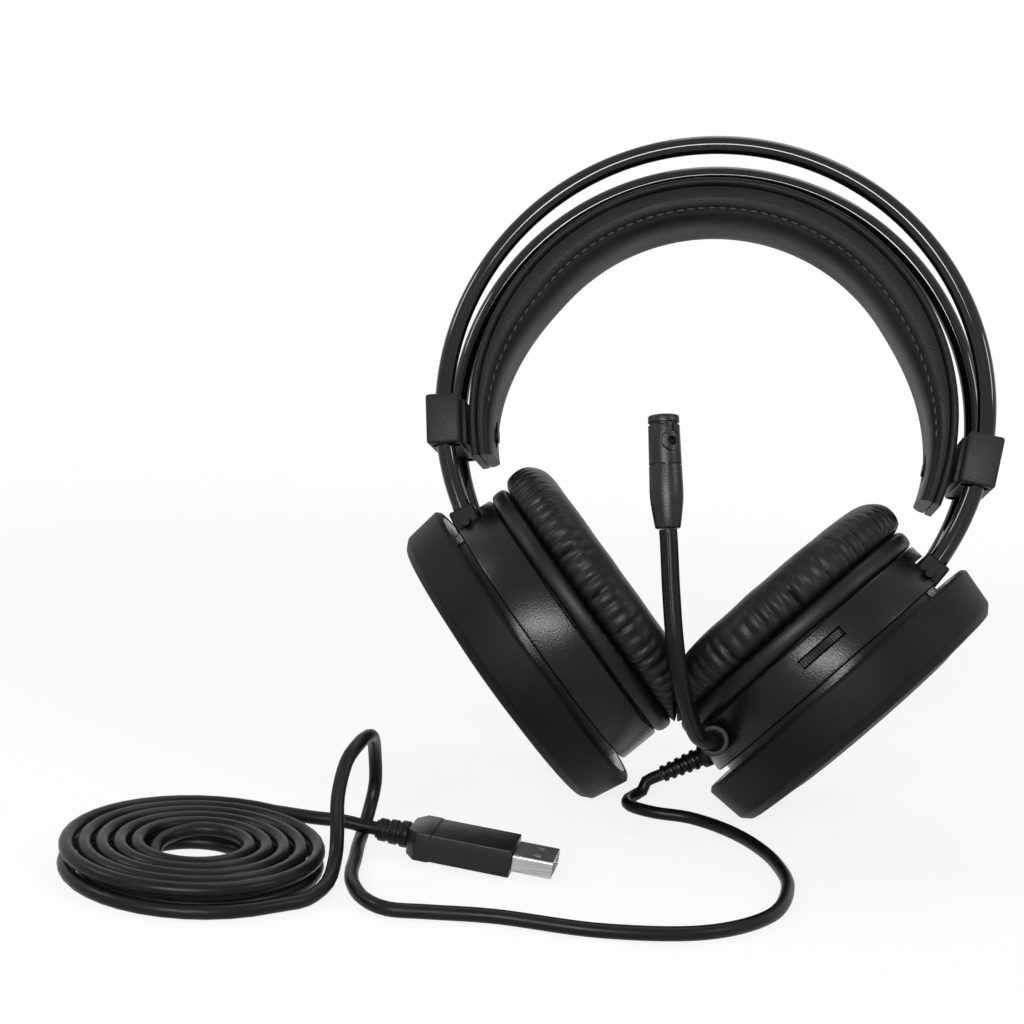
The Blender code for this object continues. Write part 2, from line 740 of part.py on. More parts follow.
def make_hinge(word, side, parent, plastic, steel):
    """The block on the rails' ends, square to the rails, and the pin that the cup turns on."""
    middle = arc_point(side * PIVOT_DEG, RAIL_ARC_R) + ARC_CENTRE
    outward = arc_point(side * PIVOT_DEG, 1.0)
    inward = -outward
    up = Vector((0.0, 1.0, 0.0)).cross(inward) * side
    frame = Matrix((inward, up.cross(inward), up)).transposed().to_4x4()
    frame.translation = middle
    half = Vector((BLOCK_T / 2, BLOCK_W / 2, BLOCK_H / 2))
    block = from_bmesh(word + "_hinge_block", box(-half, half, frame), plastic)
    chamfer(block, 0.5)
    for y in (-RAIL_SPACING / 2, RAIL_SPACING / 2):
        start = frame @ Vector((0.0, y, SOCKET_BOTTOM))
        apply_boolean(block, rod(RAIL_R + 0.45, start, up, 12.0, 14))
    hole = rod(PIN_R + GAP, frame @ Vector((0.0, -PIN_LENGTH, 0.0)), (0.0, 1.0, 0.0), 2 * PIN_LENGTH, 12)
    if side * frame.col[1][1] < 0:
        hole = rod(PIN_R + GAP, middle - Vector((0, PIN_LENGTH, 0)), (0.0, 1.0, 0.0), 2 * PIN_LENGTH, 12)
    apply_boolean(block, hole)
    block.parent = parent
    pin = rod(PIN_R, middle - Vector((0.0, PIN_LENGTH / 2, 0.0)), (0.0, 1.0, 0.0), PIN_LENGTH, 12)
    from_bmesh(word + "_hinge_pin", pin, steel, parent)


# Volume wheel, microphone and cable relief, all on the right cup

def make_wheel(pivot, wheel_pivot, plastic, board):
    outline = []
    for i in range(WHEEL_TEETH * 2):
        angle = math.tau * i / (WHEEL_TEETH * 2)
        reach = WHEEL_R - 0.5 * (i % 2)
        outline.append((reach * math.cos(angle), reach * math.sin(angle)))
    rim = prism(outline, -WHEEL_T / 2, WHEEL_T / 2)
    wheel = from_bmesh("volume_wheel", rim, plastic)
    apply_boolean(wheel, rod(1.5, (-5.0, 0, 0), (1.0, 0, 0), 10.0, 12))
    wheel.parent = wheel_pivot
    base = wheel_frame()
    pot = (
        (-3.4, 0.0), (-3.4, 4.6), (-WHEEL_T / 2 - 0.5, 4.6), (-WHEEL_T / 2 - 0.5, 1.15),
        (WHEEL_T / 2 + 0.3, 1.15), (WHEEL_T / 2 + 0.3, 0.0),
    )
    from_bmesh("volume_pot", turned(pot, 16, base), board, pivot)


def make_mic(pivot, boom_pivot, rubber, plastic, cloth):
    socket = mic_socket_frame()
    outward = socket.col[0][:3]
    # A short tube laid along the drum's wall and fitted to its curve.
    boss = rod(MIC_SOCKET_R, socket @ Vector((-23.0, 0.0, 0.0)), outward, 23.0, 20)
    collar = from_bmesh("mic_socket", boss, rubber)
    reach = HOUSING_R + GAP
    drum = ((-8.0, 0.0), (-8.0, reach), (HOUSING_FRONT + 6.0, reach), (HOUSING_FRONT + 6.0, 0.0))
    apply_boolean(collar, turned(drum, frame=about_cup()))
    apply_boolean(collar, rod(BOOM_R + 0.35, socket @ Vector((-9.0, 0.0, 0.0)), outward, 12.0))
    collar.parent = pivot
    root = [socket @ Vector((x, 0.0, 0.0)) for x in (-7.2, -3.6, 0.8)]
    back = pivot_place(1).inverted()
    rest = [back @ (Vector(p) + ARC_CENTRE) for p in BOOM_ROUTE]
    local = local_of(boom_pivot)
    route = [local @ p for p in smooth_route(root + rest, 4.5)]
    tube("mic_boom", route, BOOM_R, 3, rubber, boom_pivot)
    end = local @ rest[-1]
    tip = local @ (back @ (Vector(CAPSULE_END) + ARC_CENTRE))
    length = (tip - end).length
    barrel = (
        (GAP, 0.0), (GAP, 3.2), (4.5, CAPSULE_R - 0.5), (9.0, CAPSULE_R), (length - 1.6, CAPSULE_R - 0.4),
        (length - 1.6, CAPSULE_R - 1.4), (length - 3.2, CAPSULE_R - 1.4), (length - 3.2, 0.0),
    )
    from_bmesh("mic_capsule", turned(barrel, 24, aim(end, tip - end)), plastic, boom_pivot)
    screen = (
        (length - 2.8, 0.0), (length - 2.8, CAPSULE_R - 1.8),
        (length - 0.6, CAPSULE_R - 1.8), (length - 0.2, 0.0),
    )
    from_bmesh("mic_screen", turned(screen, 20, aim(end, tip - end)), cloth, boom_pivot)


def local_of(guide):
    """Turns a place in the parent's frame, in millimetres, into one in an empty's frame."""
    place = guide.matrix_local.copy()
    place.translation = place.translation / MM
    return place.inverted()


def make_relief(pivot, rubber):
    frame = relief_frame()
    profile = [(-0.4, 0.0), (-0.4, RELIEF_ROOT_R), (3.2, RELIEF_ROOT_R)]
    ribs = 5
    pitch = (RELIEF_L - 3.6) / ribs
    for i in range(ribs):
        taper = RELIEF_ROOT_R - 0.5 + (RELIEF_TIP_R - RELIEF_ROOT_R + 0.5) * i / (ribs - 1)
        start = 3.6 + pitch * i
        profile += [(start, taper - 0.5), (start + 0.4 * pitch, taper - 0.5), (start + 0.5 * pitch, taper)]
        profile += [(start + 0.95 * pitch, taper)]
    profile += [(RELIEF_L, 0.0)]
    from_bmesh("cable_relief", turned(profile, 10, frame), rubber, pivot)


# Cord and plug

def relief_tip():
    """Where the cord leaves the relief, and which way, in the world."""
    frame = LEAN @ pivot_place(1) @ relief_frame()
    return frame @ Vector((RELIEF_L + GAP, 0, 0)), Vector(frame.col[0][:3]).normalized()


def coil_route():
    """Two piled layers: in along the floor, up a layer, and out again on top."""
    points = []
    turns = 2 * COIL_TURNS + 0.5
    steps = round(turns * COIL_STEPS)
    for i in range(steps + 1):
        turn = turns * i / steps
        inner = min(turn, turns - turn)
        climb = min(1.0, max(0.0, (turn - COIL_TURNS) / 0.5))
        radius = COIL_R - COIL_PITCH * inner
        angle = math.radians(COIL_START_DEG) - math.tau * turn
        points.append(floor_place((
            COIL_CENTRE[0] + radius * math.cos(angle),
            COIL_CENTRE[1] + radius * math.sin(angle),
            CORD_R + 0.1 + COIL_PITCH * climb,
        )))
    return points


def least_gap(route, radius):
    """The least clear space between stretches of a tube that aren't neighbours."""
    least = 1e9
    near = 4 * radius
    length = [0.0]
    for a, b in zip(route, route[1:]):
        length.append(length[-1] + (b - a).length)
    for i, a in enumerate(route):
        for j in range(i + 1, len(route)):
            if length[j] - length[i] > 2.5 * near:
                least = min(least, (route[j] - a).length - 2 * radius)
    return least, length[-1]


def make_cord(rubber):
    tip, heading = relief_tip()
    coil = coil_route()
    lead_points = [tip, tip + heading * 5.0] + [floor_place(p) for p in LEAD_ROUTE]
    run_in = (coil[0] - coil[1]).normalized()
    lead_points += [coil[0] + run_in * 4.0, coil[0] + run_in * GAP]
    lead = smooth_route(lead_points, 7.0)
    tube("cable_lead", lead, CORD_R, 2, rubber)
    plug_start = floor_place(PLUG_FROM)
    plug_way = (floor_place(PLUG_TO) - plug_start).normalized()
    tail = smooth_route(
        [coil[-1]] + [floor_place(p) for p in TAIL_ROUTE]
        + [plug_start - plug_way * (GAP + 3.6), plug_start - plug_way * GAP],
        5.0,
    )
    wound = coil + tail[1:]
    tube("cable_coil", wound, CORD_R, 1, rubber)
    for word, route in (("lead", lead), ("coil", wound)):
        gap, length = least_gap(route, CORD_R)
        print(f"cord {word}: least gap {gap:.2f} mm, length {length:.0f} mm")


def rounded(width, height, corner):
    """A rounded rectangle of (y, z) pairs."""
    points = []
    for ys, zs, start in ((1, 1, 0), (-1, 1, 90), (-1, -1, 180), (1, -1, 270)):
        for i in range(4):
            angle = math.radians(start + 30 * i)
            points.append((
                ys * (width / 2 - corner) + corner * math.cos(angle),
                zs * (height / 2 - corner) + corner * math.sin(angle),
            ))
    return points


def make_plug(rubber, steel, insert):
    start = floor_place(PLUG_FROM)
    frame = aim(start, floor_place(PLUG_TO) - start)
    pitch = BOOT_L / BOOT_RIBS
    profile = [(0.0, 0.0)]
    for i in range(BOOT_RIBS):
        taper = 3.0 + 0.5 * i / (BOOT_RIBS - 1)
        profile += [(pitch * i, taper - 0.6), (pitch * (i + 0.2), taper - 0.6), (pitch * (i + 0.28), taper)]
        profile += [(pitch * (i + 0.95), taper)]
    profile += [(BOOT_L, 0.0)]
    from_bmesh("usb_boot", turned(profile, 10, frame), rubber)
    low = BOOT_L + GAP
    sections = ((0.0, 0.58, 0.9), (2.6, 0.94, 1.0), (BODY_L - 1.2, 1.0, 1.0), (BODY_L, 0.94, 0.92))
    rings = []
    for along, wide, high in sections:
        outline = rounded(BODY_W * wide, BODY_H * high, 2.0)
        rings.append([frame @ Vector((low + along, y, z)) for y, z in outline])
    from_bmesh("usb_plug_body", loft(rings), rubber)
    mouth = low + BODY_L + GAP
    sleeve = prism(rounded(SHELL_W, SHELL_H, 0.5), mouth, mouth + SHELL_L, frame)
    shell = from_bmesh("usb_plug_shell", sleeve, steel)
    bore = rounded(SHELL_W - 2 * SHELL_T, SHELL_H - 2 * SHELL_T, 0.3)
    apply_boolean(shell, prism(bore, mouth + 1.0, mouth + SHELL_L + 5.0, frame))
    for y in (-2.6, 2.6):
        hole = box((mouth + 4.6, y - 1.1, 0.0), (mouth + 6.8, y + 1.1, SHELL_H), frame)
        apply_boolean(shell, hole)
    tongue = box((mouth + 1.0 + GAP, -5.0, -1.5), (mouth + SHELL_L - 0.8, 5.0, 0.2), frame)
    from_bmesh("usb_plug_tongue", tongue, insert)


def main():
    for old in list(bpy.data.objects):
        bpy.data.objects.remove(old)
    plastic = finish("black_plastic", (0.018, 0.019, 0.021), 0.42)
    paint = finish("black_gloss_paint", (0.010, 0.010, 0.012), 0.12)
    leather = finish("black_leatherette", (0.016, 0.016, 0.018), 0.48)
    cloth = finish("black_mesh_cloth", (0.020, 0.020, 0.022), 0.9)
    steel = finish("bright_steel", (0.62, 0.62, 0.62), 0.28, 1.0)
    rubber = finish("black_cord_rubber", (0.014, 0.014, 0.015), 0.5)
    lens = finish("frosted_lens", (0.55, 0.60, 0.57), 0.4)
    board = finish("green_board", (0.02, 0.10, 0.05), 0.5)
    insert = finish("white_insert", (0.75, 0.75, 0.73), 0.5)

    headset = empty("headset", LEAN)
    band = empty("headband_slide", Matrix(), headset)
    make_rails(headset, paint)
    make_headband(band, leather, plastic, steel)
    pivots = {}
    for side, word in ((-1, "left"), (1, "right")):
        pivots[word] = empty(word + "_cup_pivot", pivot_place(side), headset)
        make_hinge(word, side, headset, plastic, steel)
        make_cup(word, side, pivots[word], (plastic, leather, cloth, steel, lens, board))
    right = pivots["right"]
    wheel_pivot = empty("volume_wheel_pivot", wheel_frame(), right)
    make_wheel(right, wheel_pivot, plastic, board)
    boom_pivot = empty("mic_boom_pivot", mic_socket_frame(), right)
    bpy.context.view_layer.update()
    make_mic(right, boom_pivot, rubber, plastic, cloth)
    make_relief(right, rubber)
    make_cord(rubber)
    make_plug(rubber, steel, insert)
    bpy.context.view_layer.update()


main()
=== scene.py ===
import math

import bpy
from mathutils import Matrix, Vector, noise


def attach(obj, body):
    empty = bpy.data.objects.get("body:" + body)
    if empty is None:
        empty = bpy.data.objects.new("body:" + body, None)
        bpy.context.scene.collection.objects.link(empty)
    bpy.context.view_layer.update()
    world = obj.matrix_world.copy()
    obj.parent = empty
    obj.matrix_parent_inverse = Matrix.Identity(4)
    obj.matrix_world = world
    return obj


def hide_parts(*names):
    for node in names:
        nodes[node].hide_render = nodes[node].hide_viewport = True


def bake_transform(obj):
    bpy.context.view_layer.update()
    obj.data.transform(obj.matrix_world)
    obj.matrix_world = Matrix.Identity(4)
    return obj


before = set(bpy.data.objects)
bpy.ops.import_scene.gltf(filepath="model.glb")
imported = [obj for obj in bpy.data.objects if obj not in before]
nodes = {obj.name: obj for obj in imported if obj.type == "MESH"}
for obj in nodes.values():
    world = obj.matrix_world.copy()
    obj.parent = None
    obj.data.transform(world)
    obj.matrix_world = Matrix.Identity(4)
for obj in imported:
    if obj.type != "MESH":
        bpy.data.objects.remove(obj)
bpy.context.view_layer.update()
print("frame loaded:", len(nodes), "nodes")

mm = 0.001
stance = {"lean": 15.0, "toe": 42.2, "arcRadius": 79.0, "pivotAngle": 123.0, "seatRadius": 56.2,
          "cupDrop": 38.0, "rim": -5.2, "floor": -170.406}


# places: all numbers in mm, turned to metres where a piece is placed

def moved(x, y, z):
    return Matrix.Translation((x * mm, y * mm, z * mm))


leanBack = Matrix.Rotation(-math.radians(stance["lean"]), 4, "X")
archPlace = leanBack @ moved(0, 0, -stance["seatRadius"])  # the middle of the rails' circle
archMiddle = archPlace.translation / mm


def onArc(angle, radius, drop=0.0):
    turn = math.radians(angle)
    return Vector((radius * math.sin(turn), 0.0, radius * math.cos(turn) - drop))


def cupPlace(side):
    # x runs to the ear from the cap's rim, z up the cup's disc
    toe = math.radians(stance["toe"])
    axis = Vector((-side * math.cos(toe), 0, math.sin(toe)))
    up = Vector((side * math.sin(toe), 0, math.cos(toe)))
    turn = Matrix((axis, up.cross(axis), up)).transposed().to_4x4()
    hinge = onArc(side * stance["pivotAngle"], stance["arcRadius"])
    return archPlace @ moved(*hinge) @ turn @ moved(stance["rim"], 0, -stance["cupDrop"])


def cupSpin(side):
    return cupPlace(side) @ Matrix.Rotation(math.pi / 2, 4, "Y")  # a spun piece's z becomes the cup's axis


def onCup(along, radius, angle):
    turn = math.radians(angle)  # from the cup's foot towards its front
    return Vector((along, radius * math.sin(turn), -radius * math.cos(turn)))


def pointing(place, way):
    turn = Vector(way).to_track_quat("Z", "Y").to_matrix().to_4x4()
    return moved(*place) @ turn


def onFloor(spot):
    return Vector((spot[0] + archMiddle.x, spot[1] + archMiddle.y, spot[2] + stance["floor"]))


def smoothLine(spots, step):
    spots = [Vector(s) for s in spots]
    ends = [spots[0] * 2 - spots[1]] + spots + [spots[-1] * 2 - spots[-2]]
    line = []
    for a, b, c, d in zip(ends, ends[1:], ends[2:], ends[3:]):
        parts = max(1, round((c - b).length / step))
        for i in range(parts):
            t = i / parts
            bow = (a * 2 - b * 5 + c * 4 - d) * (t * t)
            line.append(b + ((c - a) * t + bow + (b * 3 - a - c * 3 + d) * t ** 3) * 0.5)
    return line + [spots[-1]]


# camera
shot = {"place": (14.209, -534.898, -14.109), "yaw": 7.842, "pitch": 8.278, "roll": -5.101, "lens": 60.469}


def setCamera():
    turn = (Matrix.Rotation(math.radians(shot["yaw"]), 3, "Z")
            @ Matrix.Rotation(-math.radians(shot["pitch"]), 3, "X")
            @ Matrix.Rotation(math.radians(shot["roll"]), 3, "Y"))
    bpy.ops.object.camera_add()
    camera = bpy.context.active_object
    camera.data.lens = shot["lens"]
    camera.data.sensor_width = 36.0
    look = Matrix((turn.col[0], turn.col[2], -turn.col[1])).transposed().to_4x4()
    look.translation = Vector(shot["place"]) * mm
    camera.matrix_world = look
    bpy.context.scene.camera = camera


bpy.ops.object.select_all(action="DESELECT")
setCamera()
print("camera set")


# finishes

def startFinish(name, colour, rough, metal=0.0):
    finish = bpy.data.materials.new(name)
    finish.use_nodes = True
    tree = finish.node_tree
    shader = tree.nodes["Principled BSDF"]
    shader.inputs["Base Color"].default_value = (*colour, 1)
    shader.inputs["Roughness"].default_value = rough
    shader.inputs["Metallic"].default_value = metal
    spots = tree.nodes.new("ShaderNodeTexCoord")
    return finish, tree, shader, spots.outputs["Object"]


def addNoise(tree, spots, scale, detail=3.0, stretch=None):
    if stretch:
        mapping = tree.nodes.new("ShaderNodeMapping")
        mapping.inputs["Scale"].default_value = stretch
        tree.links.new(spots, mapping.inputs["Vector"])
        spots = mapping.outputs["Vector"]
    grain = tree.nodes.new("ShaderNodeTexNoise")
    grain.inputs["Scale"].default_value = scale
    grain.inputs["Detail"].default_value = detail
    tree.links.new(spots, grain.inputs["Vector"])
    return grain.outputs["Fac"]


def addCells(tree, spots, scale):
    cells = tree.nodes.new("ShaderNodeTexVoronoi")
    cells.inputs["Scale"].default_value = scale
    tree.links.new(spots, cells.inputs["Vector"])
    return cells.outputs["Distance"]


def spread(tree, value, low, high, fromLow=0.3, fromHigh=0.7):
    reach = tree.nodes.new("ShaderNodeMapRange")
    reach.inputs["From Min"].default_value = fromLow
    reach.inputs["From Max"].default_value = fromHigh
    reach.inputs["To Min"].default_value = low
    reach.inputs["To Max"].default_value = high
    tree.links.new(value, reach.inputs["Value"])
    return reach.outputs["Result"]


def tint(tree, value, low, high):
    ramp = tree.nodes.new("ShaderNodeValToRGB")
    ramp.color_ramp.elements[0].position = 0.3
    ramp.color_ramp.elements[1].position = 0.7
    ramp.color_ramp.elements[0].color = (*low, 1)
    ramp.color_ramp.elements[1].color = (*high, 1)
    tree.links.new(value, ramp.inputs["Fac"])
    return ramp.outputs["Color"]


def addBump(tree, shader, height, depth, strength=1.0, under=None):
    bump = tree.nodes.new("ShaderNodeBump")
    bump.inputs["Distance"].default_value = depth
    bump.inputs["Strength"].default_value = strength
    tree.links.new(height, bump.inputs["Height"])
    if under:
        tree.links.new(under, bump.inputs["Normal"])
    tree.links.new(bump.outputs["Normal"], shader.inputs["Normal"])
    return bump.outputs["Normal"]


def mouldedPlastic(name, dark, pale, roughLow, roughHigh, sheen=0.14, grain=2600, depth=0.00005):
    finish, tree, shader, spots = startFinish(name, pale, 0.4)
    cloud = addNoise(tree, spots, 40, 4)
    fine = addNoise(tree, spots, grain, 2)
    tree.links.new(tint(tree, cloud, dark, pale), shader.inputs["Base Color"])
    tree.links.new(spread(tree, fine, roughLow, roughHigh), shader.inputs["Roughness"])
    shader.inputs["Specular IOR Level"].default_value = sheen
    addBump(tree, shader, fine, depth)
    return finish


def glossPaint():
    finish, tree, shader, spots = startFinish("railPaint", (0.003, 0.003, 0.0035), 0.1)
    wipe = addNoise(tree, spots, 120, 3)
    tree.links.new(spread(tree, wipe, 0.06, 0.10), shader.inputs["Roughness"])
    colour = tint(tree, wipe, (0.001, 0.001, 0.0012), (0.002, 0.002, 0.0022))
    tree.links.new(colour, shader.inputs["Base Color"])
    shader.inputs["Specular IOR Level"].default_value = 0.32
    addBump(tree, shader, addNoise(tree, spots, 110, 2), 0.00001)
    return finish


def leatherette(name, dark, pale, cellScale, roughLow, roughHigh, depth, sheen):
    finish, tree, shader, spots = startFinish(name, pale, 0.45)
    cells = addCells(tree, spots, cellScale)
    cloud = addNoise(tree, spots, 55, 4)
    tree.links.new(tint(tree, cloud, dark, pale), shader.inputs["Base Color"])
    tree.links.new(spread(tree, cloud, roughLow, roughHigh), shader.inputs["Roughness"])
    shader.inputs["Specular IOR Level"].default_value = sheen
    first = addBump(tree, shader, cells, depth)
    addBump(tree, shader, addNoise(tree, spots, 420, 3), depth, 0.6, first)
    return finish


def cordRubber():
    finish, tree, shader, spots = startFinish("cordRubber", (0.011, 0.011, 0.012), 0.4)
    wear = addNoise(tree, spots, 90, 4)
    colour = tint(tree, wear, (0.002, 0.002, 0.0022), (0.005, 0.005, 0.0055))
    tree.links.new(colour, shader.inputs["Base Color"])
    shader.inputs["Specular IOR Level"].default_value = 0.13
    tree.links.new(spread(tree, wear, 0.28, 0.42), shader.inputs["Roughness"])
    addBump(tree, shader, addNoise(tree, spots, 900, 2), 0.00003)
    return finish


def earCloth():
    finish, tree, shader, spots = startFinish("earCloth", (0.014, 0.014, 0.015), 0.9)
    holes = addCells(tree, spots, 900)
    tree.links.new(spread(tree, holes, 0.95, 0.6, 0.1, 0.6), shader.inputs["Roughness"])
    colour = tint(tree, holes, (0.003, 0.003, 0.003), (0.022, 0.022, 0.024))
    tree.links.new(colour, shader.inputs["Base Color"])
    addBump(tree, shader, holes, 0.0003)
    return finish


def brightSteel():
    finish, tree, shader, spots = startFinish("brightSteel", (0.66, 0.66, 0.65), 0.28, 1.0)
    rub = addNoise(tree, spots, 60, 3, (1, 40, 40))
    tree.links.new(spread(tree, rub, 0.28, 0.42), shader.inputs["Roughness"])
    colour = tint(tree, rub, (0.33, 0.33, 0.325), (0.44, 0.44, 0.43))
    tree.links.new(colour, shader.inputs["Base Color"])
    addBump(tree, shader, rub, 0.00002)
    return finish


def frostedLens():
    finish, tree, shader, spots = startFinish("frostedLens", (0.5, 0.55, 0.53), 0.4)
    frost = addNoise(tree, spots, 1500, 2)
    colour = tint(tree, frost, (0.42, 0.47, 0.45), (0.58, 0.62, 0.60))
    tree.links.new(colour, shader.inputs["Base Color"])
    tree.links.new(spread(tree, frost, 0.35, 0.5), shader.inputs["Roughness"])
    addBump(tree, shader, frost, 0.00003)
    return finish


def boardGreen():
    finish, tree, shader, spots = startFinish("boardGreen", (0.02, 0.10, 0.05), 0.45)
    tracks = addCells(tree, spots, 350)
    colour = tint(tree, tracks, (0.014, 0.075, 0.036), (0.03, 0.14, 0.07))
    tree.links.new(colour, shader.inputs["Base Color"])
    tree.links.new(spread(tree, tracks, 0.35, 0.5), shader.inputs["Roughness"])
    addBump(tree, shader, tracks, 0.00005)
    return finish


def threadFinish():
    finish, tree, shader, spots = startFinish("stitchThread", (0.02, 0.02, 0.021), 0.6)
    twist = addNoise(tree, spots, 2200, 2)
    colour = tint(tree, twist, (0.006, 0.006, 0.0065), (0.016, 0.016, 0.017))
    tree.links.new(colour, shader.inputs["Base Color"])
    tree.links.new(spread(tree, twist, 0.5, 0.7), shader.inputs["Roughness"])
    addBump(tree, shader, twist, 0.0001)
    return finish


finishes = {
    "cup": mouldedPlastic("cupPlastic", (0.0018, 0.0018, 0.002), (0.003, 0.003, 0.0032),
                          0.22, 0.32, 0.20, 2400, 0.00005),
    "cap": mouldedPlastic("capPlastic", (0.0014, 0.0014, 0.0016), (0.0028, 0.0028, 0.003),
                          0.46, 0.60, 0.11, 4200, 0.00004),
    "clip": mouldedPlastic("clipPlastic", (0.008, 0.008, 0.0085), (0.014, 0.014, 0.015),
                           0.40, 0.55, 0.14, 2400, 0.00006),
    "mic": mouldedPlastic("micPlastic", (0.003, 0.003, 0.0033), (0.006, 0.006, 0.0065),
                          0.28, 0.40, 0.26, 2400, 0.00006),
    "wheel": mouldedPlastic("wheelPlastic", (0.004, 0.004, 0.0045), (0.008, 0.008, 0.0085), 0.36, 0.5, 0.2),
    "insert": mouldedPlastic("insertPlastic", (0.70, 0.70, 0.68), (0.78, 0.78, 0.76), 0.4, 0.55),
    "rail": glossPaint(),
    "pad": leatherette("padLeather", (0.0015, 0.0015, 0.0017), (0.0035, 0.0035, 0.0037),
                       1500, 0.38, 0.48, 0.00003, 0.19),
    "strap": leatherette("strapLeather", (0.005, 0.005, 0.0055), (0.009, 0.009, 0.0095),
                         1600, 0.40, 0.52, 0.00005, 0.10),
    "cord": cordRubber(),
    "cloth": earCloth(),
    "steel": brightSteel(),
    "lens": frostedLens(),
    "board": boardGreen(),
    "thread": threadFinish(),
}
print("finishes made:", len(finishes))


# modelling steps, as by hand

def pickOnly(piece):
    bpy.ops.object.select_all(action="DESELECT")
    piece.select_set(True)
    bpy.context.view_layer.objects.active = piece


def freshEdit(piece):
    pickOnly(piece)
    bpy.ops.object.mode_set(mode="EDIT")
    bpy.ops.mesh.select_all(action="SELECT")


def backToObject():
    bpy.ops.object.mode_set(mode="OBJECT")


def joinAll(pieces):
    bpy.ops.object.select_all(action="DESELECT")
    for piece in pieces:
        piece.select_set(True)
    bpy.context.view_layer.objects.active = pieces[0]
    bpy.ops.object.join()
    return pieces[0]


def settle(piece, place):
    pickOnly(piece)
    piece.matrix_world = place @ piece.matrix_world
    bpy.context.view_layer.update()
    bpy.ops.object.transform_apply(location=True, rotation=True, scale=True)


def drawOutline(name, spots):
    # one point, drawn out along the outline in the xz plane and back to its start
    bpy.ops.object.select_all(action="DESELECT")
    bpy.ops.mesh.primitive_plane_add(size=mm, location=(spots[0][0] * mm, 0, spots[0][1] * mm))
    piece = bpy.context.active_object
    piece.name = name
    freshEdit(piece)
    bpy.ops.mesh.merge(type="CENTER")
    last = spots[0]
    for spot in [*spots[1:], spots[0]]:
        step = ((spot[0] - last[0]) * mm, 0, (spot[1] - last[1]) * mm)
        bpy.ops.mesh.extrude_vertices_move(TRANSFORM_OT_translate={"value": step})
        last = spot
    bpy.ops.mesh.select_all(action="SELECT")
    bpy.ops.mesh.remove_doubles(threshold=1e-6)
    return piece


def spunPiece(name, spots, steps):
    # spots are (radius, height); the piece turns about z
    piece = drawOutline(name, spots)
    bpy.ops.mesh.spin(steps=steps, angle=math.tau, center=(0, 0, 0), axis=(0, 0, 1))
    bpy.ops.mesh.select_all(action="SELECT")
    bpy.ops.mesh.remove_doubles(threshold=2e-6)
    bpy.ops.mesh.normals_make_consistent(inside=False)
    backToObject()
    settle(piece, Matrix())
    return piece


def capEnds(piece):
    freshEdit(piece)
    bpy.ops.mesh.select_all(action="DESELECT")
    bpy.ops.mesh.select_non_manifold()
    bpy.ops.mesh.fill()
    bpy.ops.mesh.select_all(action="SELECT")
    bpy.ops.mesh.normals_make_consistent(inside=False)
    backToObject()


def cutWith(piece, cutter, how="DIFFERENCE"):
    pickOnly(piece)
    step = piece.modifiers.new("cut", "BOOLEAN")
    step.operation = how
    step.solver = "EXACT"
    step.object = cutter
    bpy.ops.object.modifier_apply(modifier="cut")
    bpy.data.objects.remove(cutter)


def softenEdges(piece, width, segments=2, angle=35):
    pickOnly(piece)
    step = piece.modifiers.new("edges", "BEVEL")
    step.width = width * mm
    step.segments = segments
    step.limit_method = "ANGLE"
    step.angle_limit = math.radians(angle)
    bpy.ops.object.modifier_apply(modifier="edges")


def block(low, high):
    bpy.ops.object.select_all(action="DESELECT")
    middle = [(a + b) / 2 * mm for a, b in zip(low, high)]
    size = [(b - a) * mm for a, b in zip(low, high)]
    bpy.ops.mesh.primitive_cube_add(size=1, location=middle, scale=size)
    piece = bpy.context.active_object
    bpy.ops.object.transform_apply(location=True, rotation=True, scale=True)
    return piece


def rodCutter(radius, length, place, sides=32):
    # a rod along z from the place's origin
    bpy.ops.object.select_all(action="DESELECT")
    bpy.ops.mesh.primitive_cylinder_add(vertices=sides, radius=radius * mm, depth=length * mm,
                                        location=(0, 0, length / 2 * mm))
    piece = bpy.context.active_object
    bpy.ops.object.transform_apply(location=True, rotation=True, scale=True)
    settle(piece, place)
    return piece


def dress(piece, finish, body, stands=(), angle=32):
    pickOnly(piece)
    bpy.ops.object.shade_smooth_by_angle(angle=math.radians(angle))
    piece.data.materials.clear()
    piece.data.materials.append(finishes[finish])
    if body:
        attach(piece, body)
    if stands:
        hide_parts(*stands)


